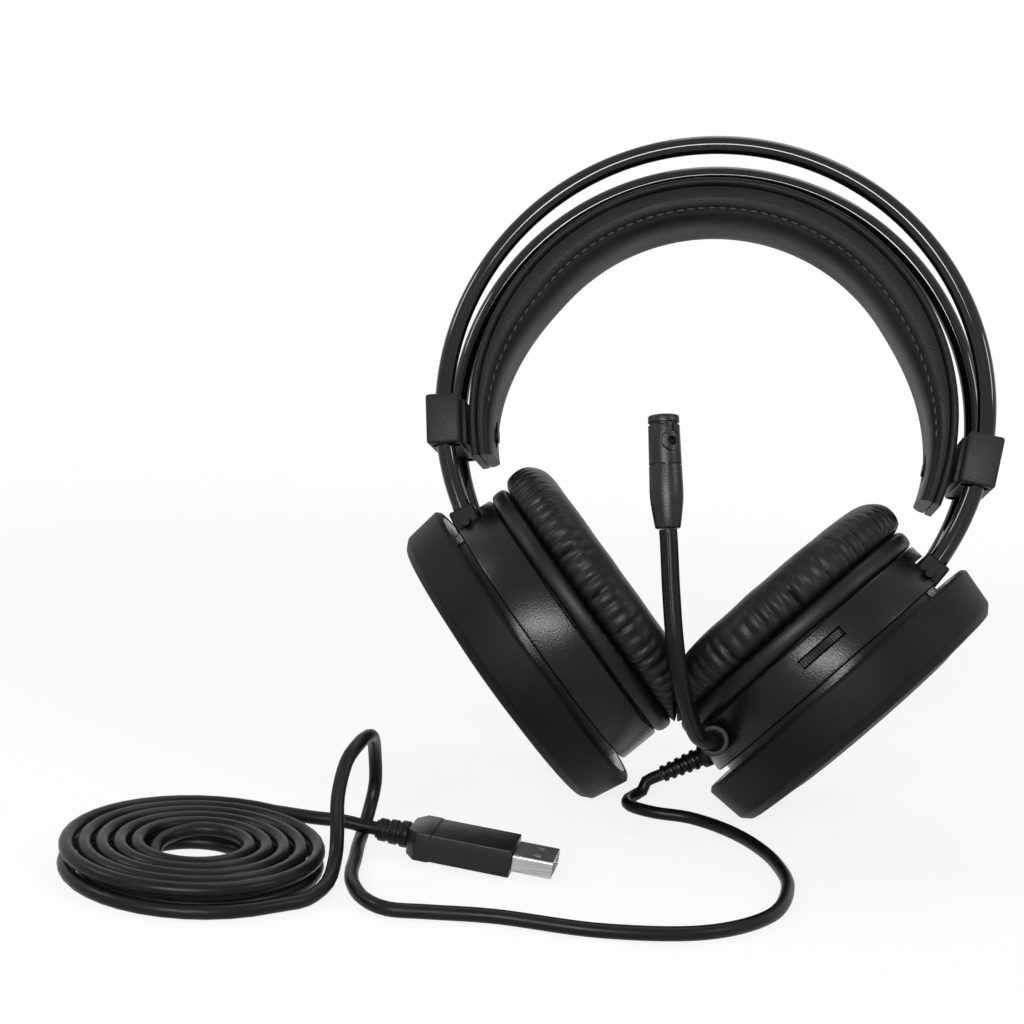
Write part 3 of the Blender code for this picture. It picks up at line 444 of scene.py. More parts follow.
# cord: relief, floor, upright loop, coil and plug, one length
lead = {
    "radius": 1.8, "length": 1.887, "along": 7.5, "angle": -8.0, "root": 42.0, "lean": 0.30, "relief": 16.3,
    "hole": 3.9, "step": 2.5, "blend": (-36.5, -20.0),
    "route": ((-8.0, -21.0, 3.4), (-11.5, -25.5, 1.9), (-10.5, -32.0, 1.9), (-3.0, -35.5, 1.9),
              (7.0, -36.0, 1.9), (17.0, -42.0, 1.9), (25.5, -52.0, 1.9), (32.0, -66.0, 1.9),
              (35.0, -84.0, 1.9), (30.5, -106.0, 1.9),
              (15.0, -123.0, 1.9), (-9.0, -131.0, 1.9), (-34.0, -131.5, 1.9), (-50.0, -134.5, 1.9),
              (-60.0, -136.3, 1.9), (-66.8, -132.0, 1.9), (-71.4, -124.0, 1.9), (-73.8, -116.0, 1.9),
              (-75.2, -106.4, 1.9), (-76.8, -96.5, 1.9), (-77.6, -89.0, 2.6), (-77.5, -83.5, 6.5),
              (-77.0, -80.0, 14.0), (-77.2, -82.5, 23.0), (-76.8, -88.5, 29.0), (-76.8, -95.5, 31.2),
              (-77.6, -102.5, 30.8), (-79.0, -108.5, 27.5), (-79.3, -113.5, 20.0), (-77.9, -117.5, 13.0),
              (-76.8, -122.0, 7.5), (-76.6, -129.5, 3.6), (-79.4, -137.5, 2.0)),
    "coilMiddle": (-111.7, -123.0), "coilRadius": 33.5, "coilStart": -40.0, "pitch": 4.3, "turns": 5.094,
    "tail": ((-90.0, -93.4, 6.8), (-82.5, -93.4, 7.0)),
    "plugFrom": (-72.9, -92.7, 5.9), "plugTo": (-24.9, -94.6, 3.6),
}


def reliefPlace():
    # where the relief leaves the right cup, and its way out, in the cup's own frame
    start = onCup(lead["along"], lead["root"], lead["angle"])
    out = (onCup(0, 1, lead["angle"]) + Vector((lead["lean"], 0, 0))).normalized()
    return start, out


def coilLine():
    spots = []
    turns = 2 * lead["turns"] + 0.5
    count = round(turns * 40)
    for i in range(count + 1):
        turn = turns * i / count
        climb = min(1.0, max(0.0, (turn - lead["turns"]) / 0.5))
        radius = lead["coilRadius"] - lead["pitch"] * min(turn, turns - turn)
        angle = math.radians(lead["coilStart"]) - math.tau * turn
        x = lead["coilMiddle"][0] + radius * math.cos(angle)
        y = lead["coilMiddle"][1] + radius * math.sin(angle)
        spots.append(onFloor((x, y, lead["radius"] + 0.1 + lead["pitch"] * climb)))
    return spots


def tubeAlong(name, line, radius, resolution=5):
    curve = bpy.data.curves.new(name, "CURVE")
    curve.dimensions = "3D"
    curve.bevel_depth = radius * mm
    curve.bevel_resolution = resolution
    curve.use_fill_caps = True
    strand = curve.splines.new("POLY")
    strand.points.add(len(line) - 1)
    for knot, spot in zip(strand.points, line):
        knot.co = (*(spot * mm), 1)
    piece = bpy.data.objects.new(name, curve)
    bpy.context.scene.collection.objects.link(piece)
    pickOnly(piece)
    bpy.ops.object.convert(target="MESH")
    return bpy.context.active_object


# plug
plug = {"boot": 9.0, "ribs": 3, "rib": 3.0, "flare": 0.5, "body": 28.0, "width": 15.0, "height": 7.6,
        "wedge": 2.6, "wedgeShare": (0.58, 0.9), "band": 6.4, "groove": 0.5, "gripShare": (0.965, 0.95)}


def makePlug():
    start = onFloor(lead["plugFrom"])
    way = onFloor(lead["plugTo"]) - start
    place = moved(*start) @ way.to_track_quat("X", "Z").to_matrix().to_4x4()
    step = plug["boot"] / plug["ribs"]
    spots = [(0, 0)]
    for i in range(plug["ribs"]):
        size = plug["rib"] + plug["flare"] * i / (plug["ribs"] - 1)
        spots += [(size - 0.6, step * i), (size - 0.6, step * (i + 0.18)), (size - 0.15, step * (i + 0.23)),
                  (size, step * (i + 0.31)), (size, step * (i + 0.88)), (size - 0.15, step * (i + 0.95))]
    spots += [(0, plug["boot"])]
    boot = spunPiece("plugBoot", spots, 40)
    settle(boot, place @ Matrix.Rotation(math.pi / 2, 4, "Y"))
    dress(boot, "cord", "rail_frame", ("usb_boot",))
    low, wide, high = plug["boot"] + 0.3, plug["width"] / 2, plug["height"] / 2
    body = block((low, -wide, -high), (low + plug["body"], wide, high))
    body.name = "plugBody"
    for along in (plug["wedge"], plug["band"], plug["band"] + plug["groove"]):
        freshEdit(body)
        bpy.ops.mesh.bisect(plane_co=((low + along) * mm, 0, 0), plane_no=(1, 0, 0))
        backToObject()
    for point in body.data.vertices:
        along = point.co.x / mm - low
        share = (1, 1)
        if along < plug["wedge"] / 2:  # the boot end is a wedge
            share = plug["wedgeShare"]
        elif along > plug["band"] + plug["groove"] / 2:  # the grip is a little slimmer than the collar
            share = plug["gripShare"]
        point.co.y *= share[0]
        point.co.z *= share[1]
    softenEdges(body, 0.85, 3, 20)
    settle(body, place)
    dress(body, "mic", "rail_frame", ("usb_plug_body",))
    return boot, body


plugBoot, plugBody = makePlug()
print("plug made")


def makeCord():
    start, out = reliefPlace()
    cup = cupPlace(1)
    tip = (cup @ ((start + out * lead["relief"]) * mm)) / mm
    way = (cup.to_3x3() @ out).normalized()
    coil = coilLine()
    runIn = (coil[0] - coil[1]).normalized()
    spots = [tip, tip + way * 5.0] + [onFloor(s) for s in lead["route"]]
    line = smoothLine(spots + [coil[0] + runIn * 4.0, coil[0]], lead["step"])[:-1]
    boot = onFloor(lead["plugFrom"])
    bootWay = (onFloor(lead["plugTo"]) - boot).normalized()
    ends = [onFloor(s) for s in lead["tail"]] + [boot - bootWay * 3.9, boot - bootWay * 0.3]
    line += coil + smoothLine([coil[-1]] + ends, lead["step"])[1:]
    cord = tubeAlong("cable", line, lead["radius"])
    dress(cord, "cord", None, ("cable_lead", "cable_coil"), 60)
    total = sum((b - a).length for a, b in zip(line, line[1:]))
    print(f"cord laid: {total:.0f} mm")
    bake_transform(cord)


makeCord()


# rails
rails = {"radius": 2.7, "spacing": 28.0, "end": 121.6, "steps": 150, "sides": 28}


def makeRail(name, y):
    bpy.ops.object.select_all(action="DESELECT")
    bpy.ops.mesh.primitive_circle_add(vertices=rails["sides"], radius=rails["radius"] * mm,
                                      location=(stance["arcRadius"] * mm, y * mm, 0))
    rail = bpy.context.active_object
    rail.name = name
    freshEdit(rail)
    bpy.ops.mesh.spin(steps=rails["steps"], angle=math.radians(2 * rails["end"]), center=(0, 0, 0),
                      axis=(0, 1, 0))
    backToObject()
    settle(rail, Matrix())
    capEnds(rail)
    settle(rail, archPlace @ Matrix.Rotation(math.radians(rails["end"] - 90), 4, "Y"))
    return rail


for name, node, side in (("frontRail", "front_rail", -1), ("rearRail", "rear_rail", 1)):
    dress(makeRail(name, side * rails["spacing"] / 2), "rail", "rail_frame", (node,), 40)
print("rails bent")


# strap: cover, padding, piping and stitches
strap = {"radius": 71.4, "drop": 2.6, "end": 106.0, "cover": 2.2, "width": 31.0, "padWidth": 29.0,
         "belly": 10.1, "edge": 2.4, "steps": 120, "stud": {-1: 99.4, 1: 96.5},
         "stitchPitch": 3.1, "stitchRow": 13.0, "stitchRadius": 62.0, "stitchEnd": 3, "stitchGap": 5,
         "stitch": (0.36, 3.3), "groove": 0.8, "grooveWidth": 0.5, "fadeFrom": (0.5, 0.75), "thins": 0.62,
         "narrows": 0.16, "rim": 1.1, "eyelet": 3.0, "eyeletLong": 1.4}


def strapFade(angle):
    # towards its ends the padding thins, and later the strap narrows
    share = abs(angle) / strap["end"]
    thinning, waist = (min(1.0, max(0.0, (share - start) / (1 - start))) for start in strap["fadeFrom"])
    fade = 1 - strap["thins"] * thinning * thinning * (3 - 2 * thinning)
    narrow = 1 - strap["narrows"] * waist * waist * (3 - 2 * waist)
    return fade, narrow


def bentStrip(name, section, thins):
    # section is (radius, y); spun about y from one end to the other
    piece = drawOutline(name, section)
    backToObject()
    settle(piece, Matrix.Rotation(-math.pi / 2, 4, "X"))  # the outline's height becomes y
    freshEdit(piece)
    bpy.ops.mesh.spin(steps=strap["steps"], angle=math.radians(2 * strap["end"]), center=(0, 0, 0),
                      axis=(0, 1, 0))
    backToObject()
    capEnds(piece)
    settle(piece, Matrix.Rotation(math.radians(strap["end"] - 90), 4, "Y"))
    top = strap["radius"] - strap["cover"] - 0.3
    for point in piece.data.vertices:
        x, y, z = point.co / mm
        angle = math.degrees(math.atan2(x, z))
        fade, narrow = strapFade(angle)
        radius = math.hypot(x, z)
        if thins:
            radius = top - (top - radius) * fade
        turn = math.radians(angle)
        point.co = Vector((radius * math.sin(turn), y * narrow, radius * math.cos(turn))) * mm
    return piece


def eyeletCutter(side):
    angle = side * strap["stud"][side]
    place = pointing(onArc(angle, strap["radius"] - 20), onArc(angle, 1))
    cutter = rodCutter(strap["eyelet"], 40, Matrix(), 28)
    across = abs((place.to_3x3() @ Vector((0, 1, 0))).y) < 0.5
    long = strap["eyeletLong"]  # along the strap
    cutter.scale = (1, long, 1) if across else (long, 1, 1)
    settle(cutter, Matrix())
    settle(cutter, place)
    return cutter


def padDepth(t):
    return strap["edge"] + (strap["belly"] - strap["edge"]) * math.sqrt(max(0.0, 1 - 0.98 * t ** 4))


def makeStrap():
    bandPlace = archPlace @ moved(0, 0, -strap["drop"])
    outer, inner = strap["radius"], strap["radius"] - strap["cover"]
    half, soft = strap["width"] / 2, strap["rim"]
    rim = []
    for i in range(9):
        turn = math.pi * i / 8
        rim.append((outer - soft + soft * math.cos(turn), half - soft + soft * math.sin(turn)))
    section = rim + [(r, -y) for r, y in reversed(rim)]
    cover = bentStrip("strapCover", section, False)
    padTop = inner - 0.3
    halfPad = strap["padWidth"] / 2
    groove = strap["stitchRow"] / halfPad
    section = [(padTop, -halfPad + 0.4), (padTop, halfPad - 0.4)]
    for i in range(65):
        t = math.cos(math.pi * i / 64)  # closer points towards the two edges
        dip = strap["groove"] * math.exp(-((abs(t) - groove) * halfPad / strap["grooveWidth"]) ** 2)
        section.append((padTop - padDepth(t) + dip, t * halfPad))
    padding = bentStrip("strapPadding", section, True)
    for piece in (cover, padding):
        for side in (-1, 1):
            cutWith(piece, eyeletCutter(side))
        settle(piece, bandPlace)
    dress(cover, "strap", "headband", ("headband_cover",), 50)
    dress(padding, "strap", "headband", ("headband_pad",), 50)
    makeStitches(bandPlace, padTop, halfPad)


def makeStitches(bandPlace, padTop, halfPad):
    pitch = math.degrees(strap["stitchPitch"] / strap["stitchRadius"])
    count = int(2 * (strap["end"] - strap["stitchEnd"]) / pitch)
    t = strap["stitchRow"] / halfPad
    thick, long = strap["stitch"]
    copies = []
    for side in (-1, 1):
        for i in range(count + 1):
            angle = -strap["end"] + strap["stitchEnd"] + i * pitch
            fade, narrow = strapFade(angle)
            if any(abs(angle - end * strap["stud"][end]) < strap["stitchGap"] for end in (-1, 1)):
                continue
            radius = padTop - (padDepth(t) - strap["groove"]) * fade - 0.05
            spot = onArc(angle, radius) + Vector((0, side * strap["stitchRow"] * narrow, 0))
            bpy.ops.mesh.primitive_uv_sphere_add(segments=8, ring_count=6, radius=thick * mm)
            stitch = bpy.context.active_object
            stitch.scale = (1, 1, long)
            settle(stitch, pointing(spot, onArc(angle + 90, 1)))
            copies.append(stitch)
    rows = joinAll(copies)
    rows.name = "strapStitches"
    settle(rows, bandPlace)
    dress(rows, "thread", "headband")


makeStrap()
print("strap sewn")


# sliders on the rails
slider = {"angle": {-1: 99.2, 1: 96.3}, "out": 83.8, "mid": 73.9, "inner": 72.7, "width": 37.0,
          "tongue": 22.0, "height": 15.0, "slot": 4.15, "slotWidth": 3.05, "slotShift": -0.48}


def makeSlider(name, side):
    angle = side * slider["angle"][side]
    out = onArc(angle, 1)
    along = Vector((0, 1, 0)).cross(out)
    turn = Matrix((along, Vector((0, 1, 0)), out)).transposed().to_4x4()
    place = archPlace @ moved(*onArc(angle, stance["arcRadius"])) @ turn
    high, wide, narrow = slider["height"] / 2, slider["width"] / 2, slider["tongue"] / 2
    top, mid, low = (slider[k] - stance["arcRadius"] for k in ("out", "mid", "inner"))
    clip = block((-high, -wide, mid), (high, wide, top))
    clip.name = name
    softenEdges(clip, 0.9, 3)
    tongue = block((-high + 0.8, -narrow, low), (high - 0.8, narrow, mid + 1.2))
    softenEdges(tongue, 0.6, 2)
    cutWith(clip, tongue, "UNION")
    through = Matrix.Rotation(math.pi / 2, 4, "Y") @ moved(0, 0, -20)
    bow = (slider["slot"] - slider["slotWidth"]) * mm
    for y in (-rails["spacing"] / 2, rails["spacing"] / 2):
        cutter = rodCutter(slider["slotWidth"], 40, through)
        for point in cutter.data.vertices:  # two half rounds, drawn apart
            point.co.z += math.copysign(bow, point.co.z + 0.01 * mm)
        settle(cutter, moved(0, y, slider["slotShift"]))
        cutWith(clip, cutter)
    settle(clip, place)
    return clip


for side, word in ((-1, "left"), (1, "right")):
    dress(makeSlider(word + "Slider", side), "clip", "headband", (word + "_slider",))
print("sliders cut")


# ear cups; outlines are (radius, along the cup's axis from the cap's rim)
cap = {"radius": 47.5, "rim": 49.2, "depth": 14.5, "bevel": 2.4, "wall": 2.2, "dome": 1.6,
       "ring": 29.0, "disc": 23.0, "steps": 144}
housing = {"radius": 43.2, "back": 1.8, "front": 14.2, "wall": 2.0, "neck": 40.5, "flange": 46.2,
           "steps": 144, "notchWidth": 42.0, "notchFloor": -8.4, "notchFront": 10.1, "notchWall": 1.4,
           "pinHole": 1.55}
pad = {"seat": 20.0, "front": 33.4, "radius": 45.0, "hole": 23.0, "pleats": 72, "depth": 1.9, "steps": 462,
       "meet": 0.3, "press": 0.9, "puff": 0.22, "ruck": 0.22, "rucks": 17, "swell": 0.3}
skirtRing = {"radius": 43.0, "inner": 30.5, "seat": 39.4}


def rounded(spots, radius):
    # rounds each marked corner of an outline: spots are (r, along, share of the radius or 0)
    line = []
    size, count = len(spots), 3
    for i, (r, s, soft) in enumerate(spots):
        here = Vector((r, s))
        if not soft:
            line.append((r, s))
            continue
        before, after = Vector(spots[i - 1][:2]), Vector(spots[(i + 1) % size][:2])
        bite = min(soft * radius, (before - here).length * 0.45, (after - here).length * 0.45)
        a = here + (before - here).normalized() * bite
        b = here + (after - here).normalized() * bite
        for k in range(count + 1):
            t = k / count
            spot = a * (1 - t) ** 2 + here * (2 * t * (1 - t)) + b * t * t
            line.append((spot.x, spot.y))
    return line


def makeCap(word, side):
    back, face = -cap["depth"], -cap["depth"] - cap["dome"]
    r, rim, wall, ring = cap["radius"], cap["rim"], cap["wall"], cap["ring"]
    spots = (
        (rim - 1.2, 0, 0.4), (rim - 0.1, -1.1, 0.4), (r, back + cap["bevel"], 0.8),
        (r - cap["bevel"], back, 0.8),
        (ring + 3.0, face + 0.35, 0),
        (ring + 0.9, face, 0.5), (ring + 0.6, face + 1.8, 0), (0, face + 1.8, 0), (0, face + 1.8 + wall, 0),
        (ring, face + 1.8 + wall, 0), (r - cap["bevel"] - wall, back + wall, 0),
        (r - wall, back + wall + cap["bevel"], 0), (rim - wall, 0, 0.4),
    )
    shell = spunPiece(word + "OuterCap", rounded(spots, 0.8), cap["steps"])
    settle(shell, cupSpin(side))
    dress(shell, "cap", word + "_cup", (word + "_outer_cap",))
    disc = cap["disc"]
    light = rounded(((ring, face + 1.5, 0), (disc + 0.5, face + 1.5, 0), (disc + 0.5, face + 0.3, 1),
                     (ring, face + 0.3, 1)), 0.4)
    lens = spunPiece(word + "LightRing", light, cap["steps"])
    settle(lens, cupSpin(side))
    dress(lens, "lens", word + "_cup", (word + "_light_ring",))
    plate = [(0, face + 1.5), (0, face + 0.1), (disc - 4, face + 0.1), (disc - 3.6, face + 0.45),
             (disc - 3.2, face + 0.1), (disc - 1.0, face + 0.12), (disc - 0.3, face + 0.4),
             (disc, face + 0.9), (disc, face + 1.5)]
    badge = spunPiece(word + "CapDisc", plate, cap["steps"])
    settle(badge, cupSpin(side))
    dress(badge, "cup", word + "_cup", (word + "_cap_disc",))


def makeHousing(word, side):
    wall, r, neck = housing["wall"], housing["radius"], housing["neck"]
    back, front = housing["back"], housing["front"]
    flange = housing["flange"]
    spots = (
        (flange, -2.2, 0), (neck - wall, -2.2, 0), (neck - wall, back + wall, 0),
        (r - wall, back + wall, 0), (r - 0.8 - wall, front, 0.4), (r - 0.8, front, 0.7),
        (r, back, 1), (neck, back, 0), (neck, -0.2, 0), (flange, -0.2, 0),
    )
    drum = spunPiece(word + "InnerHousing", rounded(spots, 1.0), housing["steps"])
    turn = Matrix.Rotation(math.pi / 2, 4, "Y")
    settle(drum, turn)  # now x is the cup's axis
    lift = stance["cupDrop"]
    half, thick = housing["notchWidth"] / 2, housing["notchWall"]
    pocket = block((-1.5, -half - thick, housing["notchFloor"] - thick + lift),
                   (housing["notchFront"] + thick, half + thick, 60))
    cutWith(pocket, rodCutter(r - wall / 2, 40, turn @ moved(0, 0, -20), 144), "INTERSECT")
    cutWith(drum, pocket, "UNION")
    cutWith(drum, block((0, -half, housing["notchFloor"] + lift), (housing["notchFront"], half, 60)))
    hinge = moved(-stance["rim"], 0, lift) @ Matrix.Rotation(-math.pi / 2, 4, "X")
    cutWith(drum, rodCutter(housing["pinHole"], 100, hinge @ moved(0, 0, -50)))
    if side == 1:
        start, out = reliefPlace()
        cutWith(drum, rodCutter(lead["hole"], 14, pointing(start - out * 5, out)))
        start, out = micPlace()
        cutWith(drum, rodCutter(mic["boom"] + 0.65, 12, pointing(start - out * 8.2, out)))
        hub = onCup(wheel["along"], wheel["hub"], 90)
        wide, long = wheel["slot"]
        gap = block((hub.x - wide, hub.y + 5, hub.z - long), (hub.x + wide, hub.y + 13, hub.z + long))
        cutWith(drum, gap)
    settle(drum, cupPlace(side))
    dress(drum, "cup", word + "_cup", (word + "_inner_housing",))


def pleatAt(angle, share, salt):
    # gathers at the foot seam: sharp valleys, round folds, wandering a little and fading to the crown
    x, y = math.cos(angle), math.sin(angle)
    drift = noise.noise(Vector((x * 3, y * 3, salt)))
    drift += 0.5 * noise.noise(Vector((x * 9, y * 9, salt + 3)))
    lean = share * 0.8 * noise.noise(Vector((x * 8, y * 8, salt + 5)))
    fold = 1 - abs(math.sin(pad["pleats"] * angle / 2 + drift + lean)) ** 0.9
    weight = min(1.2, max(0.5, 0.85 + 0.7 * noise.noise(Vector((x * 6, y * 6, salt + 9)))))
    reach = 0.80 + 0.26 * noise.noise(Vector((x * 11, y * 11, salt + 2)))
    fade = max(0.0, 1 - (share / max(0.3, reach)) ** 1.5)
    return fold * weight * fade


def makePad(word, side):
    foot, depth = pad["seat"] + 0.3, pad["front"] - pad["seat"] - 0.3
    r, hole = pad["radius"], pad["hole"]
    # the cushion's outline: radius, and share of the depth from foot to crown
    guide = ((r - 3.4, 0.0), (r - 1.0, 0.10), (r, 0.36), (r - 0.9, 0.66), (r - 5.0, 0.93), (r - 11.3, 1.0),
             (r - 16.0, 0.95), (hole + 1.8, 0.70), (hole, 0.35), (hole + 1.0, 0.0))
    line = [(s.x, s.y) for s in smoothLine([(a, foot + b * depth, 0) for a, b in guide], 1.4)]
    cushion = spunPiece(word + "EarPad", line, pad["steps"])
    for point in cushion.data.vertices:
        x, y, z = point.co / mm
        reach, angle = math.hypot(x, y), math.atan2(y, x)
        share = max(0.0, (z - foot) / depth)
        outside = min(1.0, max(0.0, (reach - hole - 7) / 5))
        dent = pad["depth"] * pleatAt(angle, share, 3.0 * side) * outside
        puff = pad["puff"] * noise.noise(Vector((x / 9, y / 9, z / 9 + side))) * outside
        wander = 4 * noise.noise(Vector((x / 11, y / 11, side)))
        ruck = pad["ruck"] * math.sin(pad["rucks"] * angle + wander) * max(0.0, 1 - outside)
        reach += puff * 0.6 - dent + ruck
        z += (puff - 0.35 * dent) * min(1.0, share * 2)
        z = min(max(z, foot), pad["front"] + pad["swell"])
        point.co = Vector((reach * math.cos(angle), reach * math.sin(angle), z)) * mm
    settle(cushion, archPlace.inverted() @ cupSpin(side))
    for point in cushion.data.vertices:  # the two pads press on each other, with a soft edge
        past = point.co.x * side / mm - pad["meet"]
        if past < 8 * pad["press"]:
            soft = pad["press"] * math.log1p(math.exp(past / pad["press"]))
            point.co.x = (pad["meet"] + soft) * mm * side
    settle(cushion, archPlace)
    dress(cushion, "pad", word + "_cup", (word + "_ear_pad",), 70)


def makeSkirt(word, side):
    start, seat = housing["front"] + 0.3, pad["seat"]
    r, inner, lip = (skirtRing[k] for k in ("radius", "inner", "seat"))
    guide = ((r - 1.6, start), (r - 0.5, start + 0.7), (r, start + 2.0), (r, start + 3.7),
             (r - 0.5, seat - 0.6), (r - 1.6, seat))
    ring = [(s.x, s.y) for s in smoothLine([(a, b, 0) for a, b in guide], 0.7)]
    # its inner edge reaches back to the baffle, so no light passes under it
    ring += [(inner, seat), (inner, start - 0.6), (lip, start - 0.6), (lip, start)]
    skirt = spunPiece(word + "PadSkirt", ring, 144)
    settle(skirt, cupSpin(side))
    dress(skirt, "pad", word + "_cup", (word + "_pad_skirt",), 50)
    return skirt


def makeCloth(word, side, skirt):
    level = housing["front"] + 2.0
    drape = [(0, level + 0.5), (12, level + 0.4), (22, level + 0.15), (29.5, level - 0.35),
             (29.5, level - 0.6), (22, level - 0.1), (12, level + 0.15), (0, level + 0.25)]
    cloth = spunPiece(word + "EarCloth", drape, 96)
    settle(cloth, cupSpin(side))
    dress(cloth, "cloth", word + "_cup", (word + "_ear_mesh",), 60)


# volume wheel, microphone and cable relief, on the right cup
wheel = {"radius": 9.0, "thick": 2.2, "along": 9.2, "hub": 33.6, "ridges": 56, "ridgeShare": 0.955,
         "bore": 1.5, "slot": (1.5, 7.5)}
mic = {"along": 9.5, "drop": 38.5, "face": 27.6, "socket": 4.3, "boom": 2.45, "capsule": 4.6,
       "route": ((7.6, -33.0, -96.2), (4.1, -41.0, -90.0), (1.2, -48.0, -81.9), (-1.3, -52.3, -71.6),
                 (-3.7, -53.6, -58.5), (-5.6, -54.2, -46.4), (-6.3, -54.4, -42.6)),
       "end": (-11.1, -54.6, -11.4), "ridge": 0.42, "port": 8.0, "portTurn": (0.52, -0.84, 0.2),
       "seam": 14.1, "pinTurn": -25}
relief = {"collar": 3.6, "ribs": 5, "rib": 3.1, "taper": 0.6, "long": 16.0}


def micPlace():
    return Vector((mic["along"], mic["face"], -mic["drop"])), Vector((0, 1, 0))


def makeWheel():
    bpy.ops.object.select_all(action="DESELECT")
    bpy.ops.mesh.primitive_cylinder_add(vertices=wheel["ridges"] * 4, radius=wheel["radius"] * mm,
                                        depth=wheel["thick"] * mm)
    disc = bpy.context.active_object
    disc.name = "volumeWheel"
    for i, point in enumerate(disc.data.vertices):
        if (i // 2) % 4 < 2:
            point.co.x *= wheel["ridgeShare"]
            point.co.y *= wheel["ridgeShare"]
    cutWith(disc, rodCutter(wheel["bore"], 10, moved(0, 0, -5)))
    softenEdges(disc, 0.12, 1)
    hub = moved(*onCup(wheel["along"], wheel["hub"], 90))
    settle(disc, cupPlace(1) @ hub @ Matrix.Rotation(math.pi / 2, 4, "Y"))
    dress(disc, "wheel", "volume_dial", ("volume_wheel",))


def makeMic():
    start, out = micPlace()
    cup = cupPlace(1)
    # a short tube laid along the drum's wall and fitted to its curve
    ring = rodCutter(mic["socket"], 23, pointing(start - out * 23, out), 64)
    ring.name = "micSocket"
    cutWith(ring, rodCutter(mic["boom"] + 0.35, 12, pointing(start - out * 9, out), 48))
    softenEdges(ring, 0.35, 3, 60)
    drumAxis = Matrix.Rotation(math.pi / 2, 4, "Y") @ moved(0, 0, -20)
    cutWith(ring, rodCutter(housing["radius"] + 0.3, 40, drumAxis, 144))
    settle(ring, cup)
    dress(ring, "clip", "right_cup", ("mic_socket",))
    root = [(cup @ ((start + out * d) * mm)) / mm for d in (-7.2, -3.6, 0.8)]
    rest = [(archPlace @ (Vector(s) * mm)) / mm for s in mic["route"]]
    line = smoothLine(root + rest, 1.2)
    boom = tubeAlong("micBoom", line, mic["boom"], 8)
    ridge = []
    for before, here, after in zip(line[5:], line[6:], line[7:]):  # a moulded line along the boom's front
        along = (after - before).normalized()
        out = Vector((-0.12, -1, 0.2))
        out = (out - along * out.dot(along)).normalized()
        ridge.append(here + out * (mic["boom"] - 0.2))
    joinAll([boom, tubeAlong("boomRidge", ridge, mic["ridge"], 3)])
    dress(boom, "cord", "mic_arm", ("mic_boom",), 60)
    tip = (archPlace @ (Vector(mic["end"]) * mm)) / mm
    way = tip - rest[-1]
    long, c = way.length, mic["capsule"]
    spots = (
        (0, 0.3, 0), (3.4, 0.3, 0.5), (c - 0.5, 4.8, 2), (c, 9.0, 2),
        (c - 0.15, long - 14.3, 0.1), (c - 0.35, long - 14.2, 0.1),  # the seam across its middle
        (c - 0.35, long - 14.0, 0.1), (c - 0.16, long - 13.9, 0.1),
        (c - 0.33, long - 3.4, 0.1), (c - 0.8, long - 3.2, 0.1),  # the groove under its end cap
        (c - 0.8, long - 2.8, 0.1), (c - 0.33, long - 2.6, 0.1),
        (c - 0.4, long - 0.7, 0.5), (c - 1.4, long - 0.6, 0.4), (c - 1.4, long - 3.2, 0),
        (0, long - 3.2, 0),
    )
    body = spunPiece("micCapsule", rounded(spots, 0.9), 72)
    port, outward = long - mic["port"], (1, 0, 0)
    groove = rodCutter(2.95, 4, pointing((c - 1.15, 0, port), outward), 48)  # a ring around the port
    cutWith(groove, rodCutter(2.6, 8, pointing((c - 3.15, 0, port), outward), 48))
    cutWith(body, groove)
    cutWith(body, rodCutter(1.3, 4, pointing((c - 2.2, 0, port), outward), 28))
    cutWith(body, block((c - 1.0, -0.8, long - 5.2), (c + 1, 0.8, long - 2.7)))
    turn = math.radians(mic["pinTurn"])  # a small pin hole on the seam
    outward = Vector((math.cos(turn), math.sin(turn), 0))
    spot = outward * (c - 0.45) + Vector((0, 0, long - mic["seam"]))
    cutWith(body, rodCutter(0.45, 3, pointing(spot, outward), 20))
    place = pointing(rest[-1], way)
    swing = place.inverted().to_3x3() @ Vector(mic["portTurn"])  # the port faces the front
    settle(body, place @ Matrix.Rotation(math.atan2(swing.y, swing.x), 4, "Z"))
    dress(body, "mic", "mic_arm", ("mic_capsule",))
    screen = [(0, long - 2.8), (c - 1.8, long - 2.8), (c - 1.8, long - 1.0), (c - 2.6, long - 0.7),
              (0, long - 0.5)]
    foam = spunPiece("micScreen", screen, 48)
    settle(foam, place)
    dress(foam, "cloth", "mic_arm", ("mic_screen",), 60)


def makeRelief():
    start, out = reliefPlace()
    collar, ribs, long = relief["collar"], relief["ribs"], relief["long"]
    spots = [(0, -0.4), (collar, -0.4), (collar, 2.6), (3.35, 3.2)]
    step = (long - collar) / ribs
    for i in range(ribs):
        size = relief["rib"] - relief["taper"] * i / (ribs - 1)
        base = collar + step * i
        spots += [(size - 0.5, base), (size - 0.5, base + 0.4 * step), (size - 0.12, base + 0.47 * step),
                  (size, base + 0.56 * step), (size, base + 0.86 * step), (size - 0.15, base + 0.95 * step)]
    spots += [(1.9, long), (0, long)]
    sleeve = spunPiece("cableRelief", spots, 48)
    settle(sleeve, cupPlace(1) @ pointing(start, out))
    dress(sleeve, "cord", "right_cup", ("cable_relief",))


for side, word in ((-1, "left"), (1, "right")):
    makeCap(word, side)
    makeHousing(word, side)
    makePad(word, side)
    makeCloth(word, side, makeSkirt(word, side))
    print(word, "cup made")
makeWheel()
makeMic()
makeRelief()
print("wheel, microphone and relief made")


# the solids that stay, each with its finish
kept = {"steel": ("baffle_screw_1", "baffle_screw_2", "baffle_screw_3", "driver_magnet"),
        "cup": ("baffle", "driver_basket", "diaphragm"), "cap": ("hinge_block", "hinge_pin", "strap_stud"),
        "board": ("led_board",)}


def paint(node, finish):
    data = nodes[node].data
    data.materials.clear()
    data.materials.append(finishes[finish])


